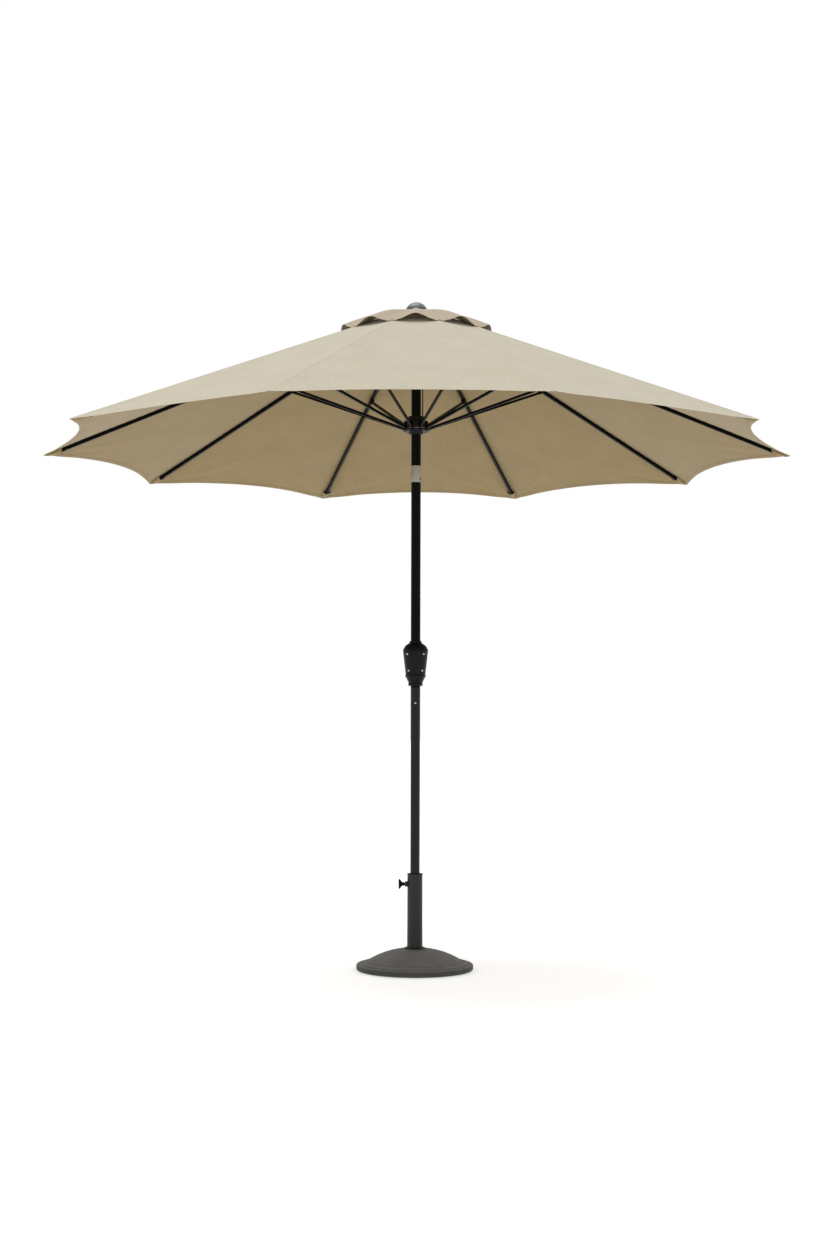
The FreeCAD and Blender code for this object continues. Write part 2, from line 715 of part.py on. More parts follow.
def housing_outline():
    """Wall of the urn-shaped housing, as radius and height."""
    bore = "places.pole_radius + dims.housing_bore_gap"
    foot_top = "dims.housing_bottom + dims.housing_foot_height"
    belly_top = "dims.housing_belly_height + dims.housing_belly_band"
    wall = "dims.housing_wall"
    return [
        (bore, "dims.housing_bottom"),
        ("places.housing_foot_radius", "dims.housing_bottom"),
        ("places.housing_foot_radius", foot_top),
        ("places.housing_foot_radius - dims.edge_break", foot_top),
        ("places.housing_waist_radius - dims.housing_cove",
         "dims.housing_waist_height - dims.housing_cove_drop"),
        ("places.housing_waist_radius + dims.housing_ridge",
         "dims.housing_waist_height - 2 * dims.housing_ridge"),
        ("places.housing_waist_radius + dims.housing_ridge", "dims.housing_waist_height"),
        ("places.housing_waist_radius", "dims.housing_waist_height + dims.housing_ridge"),
        ("places.housing_belly_radius", "dims.housing_belly_height"),
        ("places.housing_belly_radius", belly_top),
        ("places.housing_shoulder_radius", "dims.housing_shoulder_height"),
        ("places.housing_neck_radius", "dims.housing_top - dims.housing_ring"),
        ("places.housing_neck_radius", "dims.housing_top"),
        (bore, "dims.housing_top"),
        (bore, "dims.housing_top - dims.housing_ring - %s" % wall),
        ("places.housing_neck_radius - dims.edge_break", "dims.housing_top - dims.housing_ring - %s" % wall),
        ("places.housing_shoulder_radius - %s" % wall, "dims.housing_shoulder_height - %s" % wall),
        ("places.housing_belly_radius - %s" % wall, "dims.housing_belly_height + %s" % wall),
        ("places.housing_belly_radius - %s" % wall, "dims.housing_belly_height"),
        ("places.housing_waist_radius - %s" % wall, "dims.housing_waist_height + dims.housing_ridge"),
        ("places.housing_waist_radius - 2 * %s" % wall, "dims.housing_waist_height - dims.housing_cove_drop"),
        ("places.housing_foot_radius - dims.edge_break - %s" % wall, foot_top + " + %s" % wall),
        (bore, foot_top + " + %s" % wall),
    ]


def lug_circles(radius):
    """Four screw places of the housing."""
    return [(side + "places.lug_spread_" + row, "dims.lug_height_" + row, radius)
            for row in ("top", "low") for side in ("-", "")]


def make_housing_half(name, label, front):
    """Half of the crank housing with its bearing and screw lugs."""
    half = new_body(name)
    add_turn(half, housing_outline(), angle=180, reverse=front)
    side = "-" if not front else ""
    inner = "places.pole_radius + dims.bearing_gap"
    outer = "places.bearing_front" if front else "places.bearing_back"
    shaft = ("0", "dims.shaft_height")
    add_pad(half, "XZ_Plane", circles=[shaft + ("dims.bearing_radius",)], offset="%s(%s)" % (side, inner),
            length="%s - (%s)" % (outer, inner), reverse=not front)
    for row in ("top", "low"):
        for hand in ("-", ""):
            spot = (hand + "places.lug_spread_" + row, "dims.lug_height_" + row)
            add_pad(half, "XZ_Plane", circles=[spot + ("dims.lug_radius",)],
                    length="dims.lug_depth_" + row, reverse=not front)
            if front:
                add_pocket(half, "XZ_Plane", circles=[spot + ("dims.lug_screw_head_radius",)],
                           offset="dims.lug_depth_" + row, length="places.housing_belly_radius", reverse=True)
    add_pocket(half, "XZ_Plane", circles=lug_circles("dims.lug_screw_radius"),
               offset="%s(-0.1)" % side, length="dims.lug_depth_low + 20", reverse=front)
    depth = "places.shaft_front + 0.5" if front else "places.bearing_back + 1"
    add_pocket(half, "XZ_Plane", circles=[shaft + ("dims.shaft_radius + dims.shaft_gap",)],
               length=depth, reverse=front)
    keep(half, label)


def make_housing_screws():
    """Pan-head screws that close the housing, heads to the front."""
    screws = []
    for row in ("top", "low"):
        for hand, sign in (("left", "-"), ("right", "")):
            spot = {"x": sign + "places.lug_spread_" + row, "z": "dims.lug_height_" + row}
            head = cylinder("head_%s_%s" % (row, hand), "dims.lug_screw_head_radius - 0.3",
                            "dims.lug_screw_head_height", y="-dims.lug_depth_" + row, roll="90", **spot)
            shank = cylinder("shank_%s_%s" % (row, hand), "dims.lug_screw_radius",
                             "dims.lug_depth_%s + 12" % row, y="12", roll="90", **spot)
            screws.append(fuse("screw_%s_%s" % (row, hand), head, shank))
    keep(group("screws", *screws), "housing_screws")


# ---------------------------------------------------------------- crank

def make_crank_shaft():
    """Crank shaft along +Y and the flanged spool on it."""
    length = "places.shaft_front + places.arm_plane + dims.arm_thickness"
    shaft = cylinder("shaft", "dims.shaft_radius", length, y="-places.shaft_front", z="dims.shaft_height", roll="-90")
    near = "dims.cord_plane - dims.spool_width / 2"
    far = "dims.cord_plane + dims.spool_width / 2"
    spool = turned("spool", [
        ("dims.shaft_radius", near),
        ("dims.spool_radius", near),
        ("dims.spool_radius", near + " + dims.spool_flange"),
        ("dims.spool_core_radius", near + " + dims.spool_flange"),
        ("dims.spool_core_radius", far + " - dims.spool_flange"),
        ("dims.spool_radius", far + " - dims.spool_flange"),
        ("dims.spool_radius", far),
        ("dims.shaft_radius", far),
    ])
    place(spool, z="dims.shaft_height", roll="90")
    keep(group("shaft_set", shaft, spool), "crank_shaft")


def make_crank_arm():
    """Crank arm that hangs from the shaft, with the rivet its knob turns on."""
    knob_height = "dims.shaft_height - dims.arm_length"
    arm = new_body("arm")
    plane = {"offset": "-places.arm_plane", "length": "dims.arm_thickness", "reverse": True}
    half = "dims.arm_width / 2"
    add_pad(arm, "XZ_Plane", outline=[
        ("-" + half, knob_height), (half, knob_height),
        (half, "dims.shaft_height"), ("-" + half, "dims.shaft_height")], **plane)
    add_pad(arm, "XZ_Plane", circles=[("0", "dims.shaft_height", "dims.arm_hub_radius")], **plane)
    add_pad(arm, "XZ_Plane", circles=[("0", knob_height, "dims.arm_eye_radius")], **plane)
    add_pocket(arm, "XZ_Plane", circles=[("0", "dims.shaft_height", "dims.shaft_radius"),
                                         ("0", knob_height, "dims.rivet_radius")],
               offset="-places.arm_plane + dims.cut_spare", length="dims.arm_thickness + 2 * dims.cut_spare")
    shank = "dims.arm_thickness + 2 * dims.knob_end_gap + dims.knob_length"
    pin = cylinder("rivet_shank", "dims.rivet_radius", shank, y="places.arm_plane", z=knob_height, roll="-90")
    head = cylinder("rivet_head", "dims.rivet_head_radius", "dims.rivet_head_height",
                    y="places.arm_plane + %s" % shank, z=knob_height, roll="-90")
    keep(group("arm_set", arm, fuse("rivet", pin, head)), "crank_arm")


def make_crank_knob():
    """Barrel knob that spins on the crank's rivet."""
    start, end = "places.knob_plane", "places.knob_plane + dims.knob_length"
    bore = "dims.rivet_radius + dims.knob_gap"
    knob = turned("knob", [
        (bore, start),
        ("dims.knob_neck_radius", start),
        ("dims.knob_radius", start + " + dims.knob_length / 2"),
        ("dims.knob_radius", end + " - dims.knob_round"),
        ("dims.knob_neck_radius", end),
        (bore, end),
    ])
    keep(place(knob, z="dims.shaft_height - dims.arm_length", roll="-90"), "crank_knob")


# ---------------------------------------------------------------- tilt joint

def tilt_disc(name, radius, half_width):
    """Disc on the tilt axis, which runs along X."""
    return cylinder(name, radius, "2 * (%s)" % half_width, x="-(%s)" % half_width, z="dims.tilt_height",
                    pitch="90")


def cord_channel(name):
    """Passage for the lift cord beside the tilt pin."""
    climb = "(dims.tilt_height - dims.shaft_height) / (places.pulley_height - dims.shaft_height)"
    return cylinder(name, "dims.cord_hole_radius", "4 * dims.pole_diameter",
                    x="places.cord_wrap * (1 - %s)" % climb, y="-dims.cord_plane",
                    z="dims.tilt_height - 2 * dims.pole_diameter")


def make_tilt_socket():
    """Lower half of the tilt band: two round ears, a sloped rear shoulder and a spigot in the pole."""
    barrel = cylinder("socket_barrel", "places.pole_radius", "dims.tilt_height - dims.band_bottom",
                      z="dims.band_bottom")
    rear = box("socket_rear", "3 * dims.pole_diameter", "2 * dims.pole_diameter", "2 * dims.pole_diameter",
               x="-1.5 * dims.pole_diameter", z="dims.tilt_height", roll="-(dims.tilt_range + dims.tilt_spare)")
    envelope = cylinder("ear_envelope", "places.pole_radius", "2 * dims.knuckle_radius",
                        z="dims.tilt_height - dims.knuckle_radius")
    ears = common("ears", envelope, tilt_disc("ear_disc", "dims.knuckle_radius", "places.pole_radius"))
    hollow = tilt_disc("socket_hollow", "dims.knuckle_radius + dims.knuckle_gap",
                       "dims.tongue_half_width + dims.knuckle_gap")
    spigot = cylinder("socket_spigot", "places.insert_radius", "dims.spigot_length",
                      z="dims.band_bottom - dims.spigot_length")
    bore = cylinder("socket_bore", "places.insert_radius - dims.spigot_wall", "dims.spigot_length",
                    z="dims.band_bottom - dims.spigot_length")
    button_hole = cylinder("button_hole", "dims.tilt_button_radius + dims.tilt_button_gap", "dims.pole_diameter",
                           x="dims.tilt_button_floor * cos(dims.tilt_button_angle)",
                           y="dims.tilt_button_floor * sin(dims.tilt_button_angle)",
                           z="dims.tilt_button_height", yaw="dims.tilt_button_angle", pitch="90")
    solid = fuse("socket_solid", cut("socket_cheek", barrel, rear), ears, cut("socket_tail", spigot, bore))
    tools = fuse("socket_tools", hollow, button_hole, cord_channel("socket_channel"),
                 tilt_disc("ear_bore", "dims.tilt_pin_radius", "dims.pole_diameter"))
    keep(cut("tilt_low", solid, tools), "tilt_socket")


def make_tilt_tongue():
    """Upper half of the tilt band: a round tongue between the ears and a spigot in the upper pole."""
    seat = "dims.tilt_height + dims.knuckle_gap"
    barrel = cylinder("tongue_barrel", "places.pole_radius", "dims.band_top - (%s)" % seat, z=seat)
    shell = tilt_disc("tongue_shell", "dims.knuckle_radius + dims.knuckle_gap", "dims.pole_diameter")
    cap = cut("tongue_cap", barrel, shell)
    envelope = cylinder("tongue_envelope", "places.pole_radius", "dims.band_top - dims.tilt_height"
                        " + dims.knuckle_radius", z="dims.tilt_height - dims.knuckle_radius")
    disc = common("tongue_disc_cut", envelope, tilt_disc("tongue_disc", "dims.knuckle_radius",
                                                         "dims.tongue_half_width"))
    neck = box("tongue_neck", "2 * dims.tongue_half_width", "2 * dims.knuckle_radius",
               "dims.knuckle_radius + dims.knuckle_gap + dims.cut_spare", x="-dims.tongue_half_width",
               y="-dims.knuckle_radius", z=seat)
    neck_cut = common("tongue_neck_cut", neck, cylinder("neck_envelope", "places.pole_radius",
                                                        "dims.pole_diameter", z=seat))
    spigot = cylinder("tongue_spigot", "places.insert_radius", "dims.spigot_length", z="dims.band_top")
    bore = cylinder("tongue_bore", "places.insert_radius - dims.spigot_wall", "dims.spigot_length",
                    z="dims.band_top")
    solid = fuse("tongue_solid", cap, disc, neck_cut, cut("tongue_tail", spigot, bore))
    tools = fuse("tongue_tools", cord_channel("tongue_channel"),
                 tilt_disc("tongue_pin_bore", "dims.tilt_pin_radius + dims.tilt_pin_gap", "dims.pole_diameter"))
    keep(cut("tilt_high", solid, tools), "tilt_tongue")


def make_tilt_pin():
    """Pin that the tilt joint turns on, along X."""
    keep(tilt_disc("pin_tilt", "dims.tilt_pin_radius", "places.pole_radius - dims.tilt_pin_inset"), "tilt_pin")


def make_tilt_button():
    """Push button of the tilt joint, pressed towards the pole's axis."""
    button = turned("button", [
        ("0", "dims.tilt_button_inner"),
        ("dims.tilt_button_radius", "dims.tilt_button_inner"),
        ("dims.tilt_button_radius", "dims.tilt_button_outer - dims.edge_break"),
        ("dims.tilt_button_radius - dims.edge_break", "dims.tilt_button_outer"),
        ("0", "dims.tilt_button_outer"),
    ])
    keep(place(button, z="dims.tilt_button_height", yaw="dims.tilt_button_angle", pitch="90"), "tilt_button")


# ---------------------------------------------------------------- upper pole, hub and runner

def make_upper_pole():
    """Upper pole tube between the tilt band and the hub."""
    pole = turned("pole_top", ring_corners("places.pole_bore", "places.pole_radius", "dims.band_top",
                                           "dims.hub_pin_height"))
    keep(pole, "upper_pole")


def pin_ring(radius, height):
    """Wire bent to a regular polygon, one straight side across each rib slot."""
    count = int(number("dims.rib_count"))
    corner_radius = number("dims.hub_pin_radius") / math.cos(math.pi / count)
    corners = []
    for index in range(count + 1):
        angle = math.radians((index + 0.5) * 360 / count)
        corners.append(Vector(corner_radius * math.cos(angle), corner_radius * math.sin(angle), height))
    path = Part.makePolygon(corners)
    section = Part.Wire([Part.makeCircle(radius, corners[0], corners[1] - corners[0])])
    return path.makePipeShell([section], True, True, 1)


def add_slots(body, low, high):
    """Radial slots for the ribs or struts, open at the rim, the top and the bottom."""
    slot = add_pocket(body, "XY_Plane", offset=high, length="%s - (%s)" % (high, low), outline=[
        ("dims.hub_core_radius", "-dims.slot_width / 2"),
        ("2 * dims.hub_radius", "-dims.slot_width / 2"),
        ("2 * dims.hub_radius", "dims.slot_width / 2"),
        ("dims.hub_core_radius", "dims.slot_width / 2")])
    add_pattern(body, slot, "dims.rib_count")


def make_top_hub():
    """Top hub: rib slots round a core that holds the pole's end, the cord pulley and the finial."""
    pin = "dims.hub_pin_height"
    low, high = pin + " - dims.hub_half_height", pin + " + dims.hub_half_height"
    neck = pin + " - dims.hub_neck_drop"
    groove_low, groove_high = pin + " - dims.wire_radius", pin + " + dims.wire_radius"
    groove = "dims.hub_pin_radius - dims.wire_radius"
    hub = turned("hub", [
        ("places.pole_radius", neck),
        ("dims.hub_neck_radius", neck),
        ("dims.hub_neck_radius", low + " - dims.hub_neck_rise"),
        ("dims.hub_neck_radius + dims.hub_neck_flare", low),
        ("dims.hub_radius", low),
        ("dims.hub_radius", groove_low),
        (groove, groove_low),
        (groove, groove_high),
        ("dims.hub_radius", groove_high),
        ("dims.hub_radius", high),
        ("dims.hub_crown_radius", high),
        ("dims.hub_crown_radius", "places.hub_crown_height"),
        ("dims.finial_stud_radius", "places.hub_crown_height"),
        ("dims.finial_stud_radius", "places.hub_crown_height - dims.finial_stud_length"),
        ("0", "places.hub_crown_height - dims.finial_stud_length"),
        ("0", pin),
        ("places.pole_radius", pin),
    ])
    add_slots(hub, low, high)
    slot_near = "-dims.cord_plane - dims.pulley_slot_width / 2"
    slot_far = "-dims.cord_plane + dims.pulley_slot_width / 2"
    slot_start = "places.pulley_pitch - dims.pulley_radius - dims.pulley_room"
    slot_end = "places.pulley_pitch + dims.pulley_radius + dims.pulley_room"
    add_pocket(hub, "XY_Plane", offset="places.hub_crown_height + dims.cut_spare",
               length="places.hub_crown_height + dims.cut_spare - " + pin, outline=[
                   (slot_start, slot_near), (slot_end, slot_near), (slot_end, slot_far), (slot_start, slot_far)])
    add_pocket(hub, "XY_Plane", offset=pin + " + dims.cut_spare", length="2 * dims.hub_neck_drop",
               circles=[("dims.cord_out", "-dims.cord_plane", "dims.cord_hole_radius")])
    add_pocket(hub, "XZ_Plane", offset="dims.hub_core_radius", length="2 * dims.hub_core_radius",
               circles=[("places.pulley_pitch", "places.pulley_height", "dims.pulley_pin_radius")])
    keep(hub, "top_hub")
    pin_length = "dims.pulley_pin_length"
    axle = cylinder("pulley_axle", "dims.pulley_pin_radius", pin_length, x="places.pulley_pitch",
                    y="-dims.cord_plane + %s / 2" % pin_length, z="places.pulley_height", roll="90")
    wire = made("hub_ring", pin_ring(number("dims.wire_radius"), number(pin)))
    keep(group("hub_pins_set", wire, axle), "hub_pins")


def make_pulley():
    """Grooved pulley for the lift cord, on an axle along Y."""
    near = "-dims.pulley_width / 2"
    far = "dims.pulley_width / 2"
    bore = "dims.pulley_pin_radius + dims.pulley_pin_gap"
    pulley = turned("wheel", [
        (bore, near),
        ("dims.pulley_radius", near),
        ("dims.pulley_radius", near + " + dims.pulley_rim"),
        ("places.pulley_pitch - dims.cord_radius - dims.pulley_groove_gap", near + " + dims.pulley_rim"),
        ("places.pulley_pitch - dims.cord_radius - dims.pulley_groove_gap", far + " - dims.pulley_rim"),
        ("dims.pulley_radius", far + " - dims.pulley_rim"),
        ("dims.pulley_radius", far),
        (bore, far),
    ])
    place(pulley, x="places.pulley_pitch", y="-dims.cord_plane", z="places.pulley_height", roll="90")
    keep(pulley, "cord_pulley")


def make_finial():
    """Domed finial with the spacer and stud that fix it to the hub."""
    dome_height = "(places.finial_top_height - places.finial_seat_height - dims.finial_edge)"
    dome_radius = "(dims.finial_radius ^ 2 + %s ^ 2) / (2 * %s)" % (dome_height, dome_height)
    finial = turned("dome", [
        ("0", "places.hub_crown_height - dims.finial_stud_length"),
        ("dims.finial_stud_radius", "places.hub_crown_height - dims.finial_stud_length"),
        ("dims.finial_stud_radius", "places.hub_crown_height"),
        ("dims.finial_spacer_radius", "places.hub_crown_height"),
        ("dims.finial_spacer_radius", "places.finial_seat_height"),
        ("dims.finial_radius", "places.finial_seat_height"),
        ("dims.finial_radius", "places.finial_seat_height + dims.finial_edge", dome_radius),
        ("0", "places.finial_top_height"),
    ])
    keep(finial, "finial")


def make_runner():
    """Runner that slides on the pole and carries the struts, with its ring of pin wire."""
    pin = "places.runner_pin_height"
    low, high = pin + " - dims.runner_drop", pin + " + dims.runner_rise"
    bore = "places.pole_radius + dims.runner_bore_gap"
    groove = "dims.hub_pin_radius - dims.wire_radius"
    runner = turned("runner", [
        (bore, pin + " - dims.runner_collar_drop"),
        ("dims.runner_collar_radius", pin + " - dims.runner_collar_drop"),
        ("dims.runner_collar_radius", low),
        ("dims.hub_radius - dims.runner_round", low),
        ("dims.hub_radius", low + " + dims.runner_round"),
        ("dims.hub_radius", pin + " - dims.wire_radius"),
        (groove, pin + " - dims.wire_radius"),
        (groove, pin + " + dims.wire_radius"),
        ("dims.hub_radius", pin + " + dims.wire_radius"),
        ("dims.hub_radius - 2 * dims.runner_round", high),
        ("dims.runner_neck_radius", high),
        ("dims.runner_neck_radius", pin + " + dims.runner_neck_rise"),
        (bore, pin + " + dims.runner_neck_rise"),
    ])
    add_slots(runner, low, high)
    add_pocket(runner, "XY_Plane", offset=pin + " + dims.runner_neck_rise",
               length="dims.cord_anchor_depth",
               circles=[("dims.cord_out", "-dims.cord_plane", "dims.cord_radius")])
    keep(runner, "runner_hub")
    wire = made("runner_ring", pin_ring(number("dims.wire_radius"), number(pin)))
    keep(wire, "runner_wire")


# ---------------------------------------------------------------- lift cord

def tube_along(edges, radius):
    """Round tube along a path of tangent edges."""
    path = Part.Wire(edges)
    start = path.Edges[0]
    direction = start.tangentAt(start.FirstParameter)
    section = Part.Wire([Part.makeCircle(radius, start.valueAt(start.FirstParameter), direction)])
    return path.makePipeShell([section], True, True)


def make_lift_cord():
    """Cord from the spool up inside the pole, over the pulley and down outside to the runner."""
    radius = number("dims.cord_radius")
    plane = -number("dims.cord_plane")
    spool = Vector(number("places.cord_wrap"), plane, number("dims.shaft_height"))
    top = Vector(0, plane, number("places.pulley_height"))
    rise = (top - spool).normalize()
    knuckle = number("dims.knuckle_radius + dims.knuckle_gap")
    low_end = number("dims.tilt_height") - knuckle - number("dims.cord_break")
    high_start = number("dims.tilt_height") - knuckle / 2
    low_length = (low_end - spool.z) / rise.z
    keep(made("cord_low", Part.makeCylinder(radius, low_length, spool, rise)), "lift_cord_low")
    start = spool + rise * ((high_start - spool.z) / rise.z)
    pitch = number("places.pulley_pitch")
    out = number("dims.cord_out")
    hub_low = number("dims.hub_pin_height - dims.hub_neck_drop")
    over = Part.Arc(top, Vector(pitch, plane, top.z + pitch), Vector(out, plane, top.z)).toShape()
    down = Part.LineSegment(Vector(out, plane, top.z), Vector(out, plane, hub_low)).toShape()
    up = Part.makeCylinder(radius, (top - start).Length, start, rise)
    bend = tube_along([over, down], radius)
    keep(made("cord_high", Part.makeCompound([up, bend])), "lift_cord_high")
    anchor = number("places.runner_pin_height + dims.runner_neck_rise - dims.cord_anchor_depth")
    run = Part.makeCylinder(radius, hub_low - anchor, Vector(out, plane, anchor))
    keep(made("cord_run", run), "lift_cord_run")


# ---------------------------------------------------------------- ribs and struts

def square_tube(name, start, end, width, depth, wall, middle):
    """Square tube along X, with its depth about a middle height."""
    outer = box(name + "_outer", "%s - (%s)" % (end, start), width, depth, x=start, y="-(%s) / 2" % width,
                z="%s - (%s) / 2" % (middle, depth))
    inner = box(name + "_inner", "%s - (%s)" % (end, start), "%s - 2 * %s" % (width, wall),
                "%s - 2 * %s" % (depth, wall), x=start, y="%s - (%s) / 2" % (wall, width),
                z="%s - (%s) / 2 + %s" % (middle, depth, wall))
    return cut(name, outer, inner)


def make_rib_root():
    """Rib root: an eye on the hub's wire and a plate that rises to the end of the rib."""
    low = "dims.rib_root_rise - dims.rib_depth / 2"
    high = "dims.rib_root_rise + dims.rib_depth / 2"
    root = new_body("rib_root")
    add_pad(root, "XZ_Plane", middle=True, length="dims.rib_width", outline=[
        ("-dims.eye_radius", "0"), ("dims.eye_radius", "0"), ("dims.rib_root_foot", low),
        ("dims.rib_start", low), ("dims.rib_start", high), ("-dims.eye_radius", high)])
    add_pad(root, "XZ_Plane", middle=True, length="dims.rib_width", circles=[("0", "0", "dims.eye_radius")])
    add_pocket(root, "XZ_Plane", middle=True, length="2 * dims.rib_width",
               circles=[("0", "0", "dims.wire_radius + dims.wire_gap")])
    return root


def make_rib_bracket():
    """Two bracket plates on the rib's sides and the rivet that carries the strut."""
    half = "dims.bracket_length / 2"
    rise = "places.link_rise"
    parts = []
    for side, offset in (("left", "dims.rib_width / 2"), ("right", "-dims.rib_width / 2 - dims.bracket_plate")):
        plate = new_body("plate_" + side)
        depth = {"offset": offset, "length": "dims.bracket_plate"}
        add_pad(plate, "XZ_Plane", outline=[
            ("places.link_reach - dims.eye_radius", rise), ("places.link_reach + dims.eye_radius", rise),
            ("places.link_reach + %s" % half, "dims.rib_root_rise + dims.rib_depth / 2"),
            ("places.link_reach - %s" % half, "dims.rib_root_rise + dims.rib_depth / 2")], **depth)
        add_pad(plate, "XZ_Plane", circles=[("places.link_reach", rise, "dims.eye_radius")], **depth)
        add_pocket(plate, "XZ_Plane", circles=[("places.link_reach", rise, "dims.wire_radius")],
                   middle=True, length="6 * dims.rib_width")
        parts.append(plate)
    reach = "dims.rib_width / 2 + dims.bracket_plate + dims.rivet_end"
    parts.append(cylinder("rivet_strut", "dims.wire_radius", "2 * (%s)" % reach, x="places.link_reach",
                          y=reach, z=rise, roll="90"))
    return parts


def make_rib_cap():
    """End cap of the rib: a plug in the tube, a flange, a ball, and a pin that fills the canopy's pocket."""
    inner_width = "dims.rib_width - 2 * dims.rib_tube_wall"
    inner_depth = "dims.rib_depth - 2 * dims.rib_tube_wall"
    width = "dims.rib_width + 2 * dims.cap_wall"
    depth = "dims.rib_depth + dims.cap_wall"
    face = "dims.rib_end + dims.cap_length"
    plug = box("cap_plug", "dims.cap_plug", inner_width, inner_depth, x="dims.rib_end - dims.cap_plug",
               y="-(%s) / 2" % inner_width, z="dims.rib_root_rise - (%s) / 2" % inner_depth)
    flange = box("cap_flange", "dims.cap_length", width, depth, x="dims.rib_end", y="-(%s) / 2" % width,
                 z="dims.rib_root_rise - dims.rib_depth / 2 - dims.cap_wall")
    ball_end = ("sqrt(dims.cap_ball_radius ^ 2 - dims.cap_neck_radius ^ 2)"
                " + sqrt(dims.cap_ball_radius ^ 2 - dims.cap_pin_radius ^ 2)")
    pin_end = "places.cap_pin_end - (%s)" % face
    knob = turned("cap_knob", [
        ("0", "0"), ("dims.cap_neck_radius", "0", "dims.cap_ball_radius"), ("dims.cap_pin_radius", ball_end),
        ("dims.cap_pin_radius", "%s - dims.cap_pin_radius / 2" % pin_end), ("dims.cap_pin_radius / 2", pin_end),
        ("0", pin_end)])
    return fuse("rib_cap", plug, flange, place(knob, x=face, z="dims.rib_root_rise", pitch="90"))


def make_ribs():
    """Ten equal ribs round the hub."""
    tube = square_tube("rib_tube", "dims.rib_start", "dims.rib_end", "dims.rib_width", "dims.rib_depth",
                       "dims.rib_tube_wall", "dims.rib_root_rise")
    parts = [tube, make_rib_root(), make_rib_cap()] + make_rib_bracket()
    for index in range(int(number("dims.rib_count"))):
        angle = "%d * 360 / dims.rib_count" % index
        rib = group("rib_set_%d" % index, *parts)
        place(rib, "dims.hub_pin_radius * cos(%s)" % angle, "dims.hub_pin_radius * sin(%s)" % angle,
              "dims.hub_pin_height", yaw=angle, pitch="dims.rib_slope")
        keep(rib, "rib_%02d" % (index + 1))


def make_strut_end():
    """Solid strut end: an eye for the wire or rivet, and a tongue that meets the tube."""
    end = new_body("strut_end")
    half = "dims.strut_depth / 2"
    add_pad(end, "XZ_Plane", middle=True, length="dims.strut_width", outline=[
        ("0", "-" + half), ("dims.strut_end_length", "-" + half), ("dims.strut_end_length", half), ("0", half)])
    add_pad(end, "XZ_Plane", middle=True, length="dims.strut_width", circles=[("0", "0", "dims.strut_eye_radius")])
    add_pocket(end, "XZ_Plane", middle=True, length="2 * dims.strut_width",
               circles=[("0", "0", "dims.wire_radius + dims.wire_gap")])
    return end


def make_struts():
    """Ten equal struts between the ribs and the runner."""
    tube = square_tube("strut_tube", "dims.strut_end_length", "dims.strut_length - dims.strut_end_length",
                       "dims.strut_width", "dims.strut_depth", "dims.strut_tube_wall", "0")
    near = make_strut_end()
    far = group("strut_far", near)
    place(far, x="dims.strut_length", pitch="180")
    for index in range(int(number("dims.rib_count"))):
        angle = "%d * 360 / dims.rib_count" % index
        strut = group("strut_set_%d" % index, tube, near, far)
        place(strut, "places.strut_pin_radius * cos(%s)" % angle, "places.strut_pin_radius * sin(%s)" % angle,
              "places.strut_pin_height", yaw=angle, pitch="90 + places.link_angle")
        keep(strut, "strut_%02d" % (index + 1))


# ---------------------------------------------------------------- fabric

def fabric_strip(low_line, high_line, thickness, half_angle, seam, steps):
    """Sheet on both sides of a rib, lofted through thin upright sections from seam to seam.

    Each line gives the radius and height of an edge of the sheet at an angle from the rib, where 0 is
    over the rib and 1 is at the seam.
    """
    sections = []
    for step in range(-steps, steps + 1):
        share = abs(step) / steps
        angle = half_angle * step / steps
        outward = Vector(math.cos(angle), math.sin(angle), 0)
        inset = Vector(math.sin(angle), -math.cos(angle), 0) * math.copysign(seam, step) * (share == 1)
        corners = []
        for line in (low_line, high_line):
            radius, height = line(share, angle)
            corners.append(outward * radius + inset + Vector(0, 0, height))
        up = Vector(0, 0, thickness)
        corners = [corners[0], corners[1], corners[1] + up, corners[0] + up]
        sections.append(Part.makePolygon(corners + corners[:1]))
    return Part.makeLoft(sections, True, True)


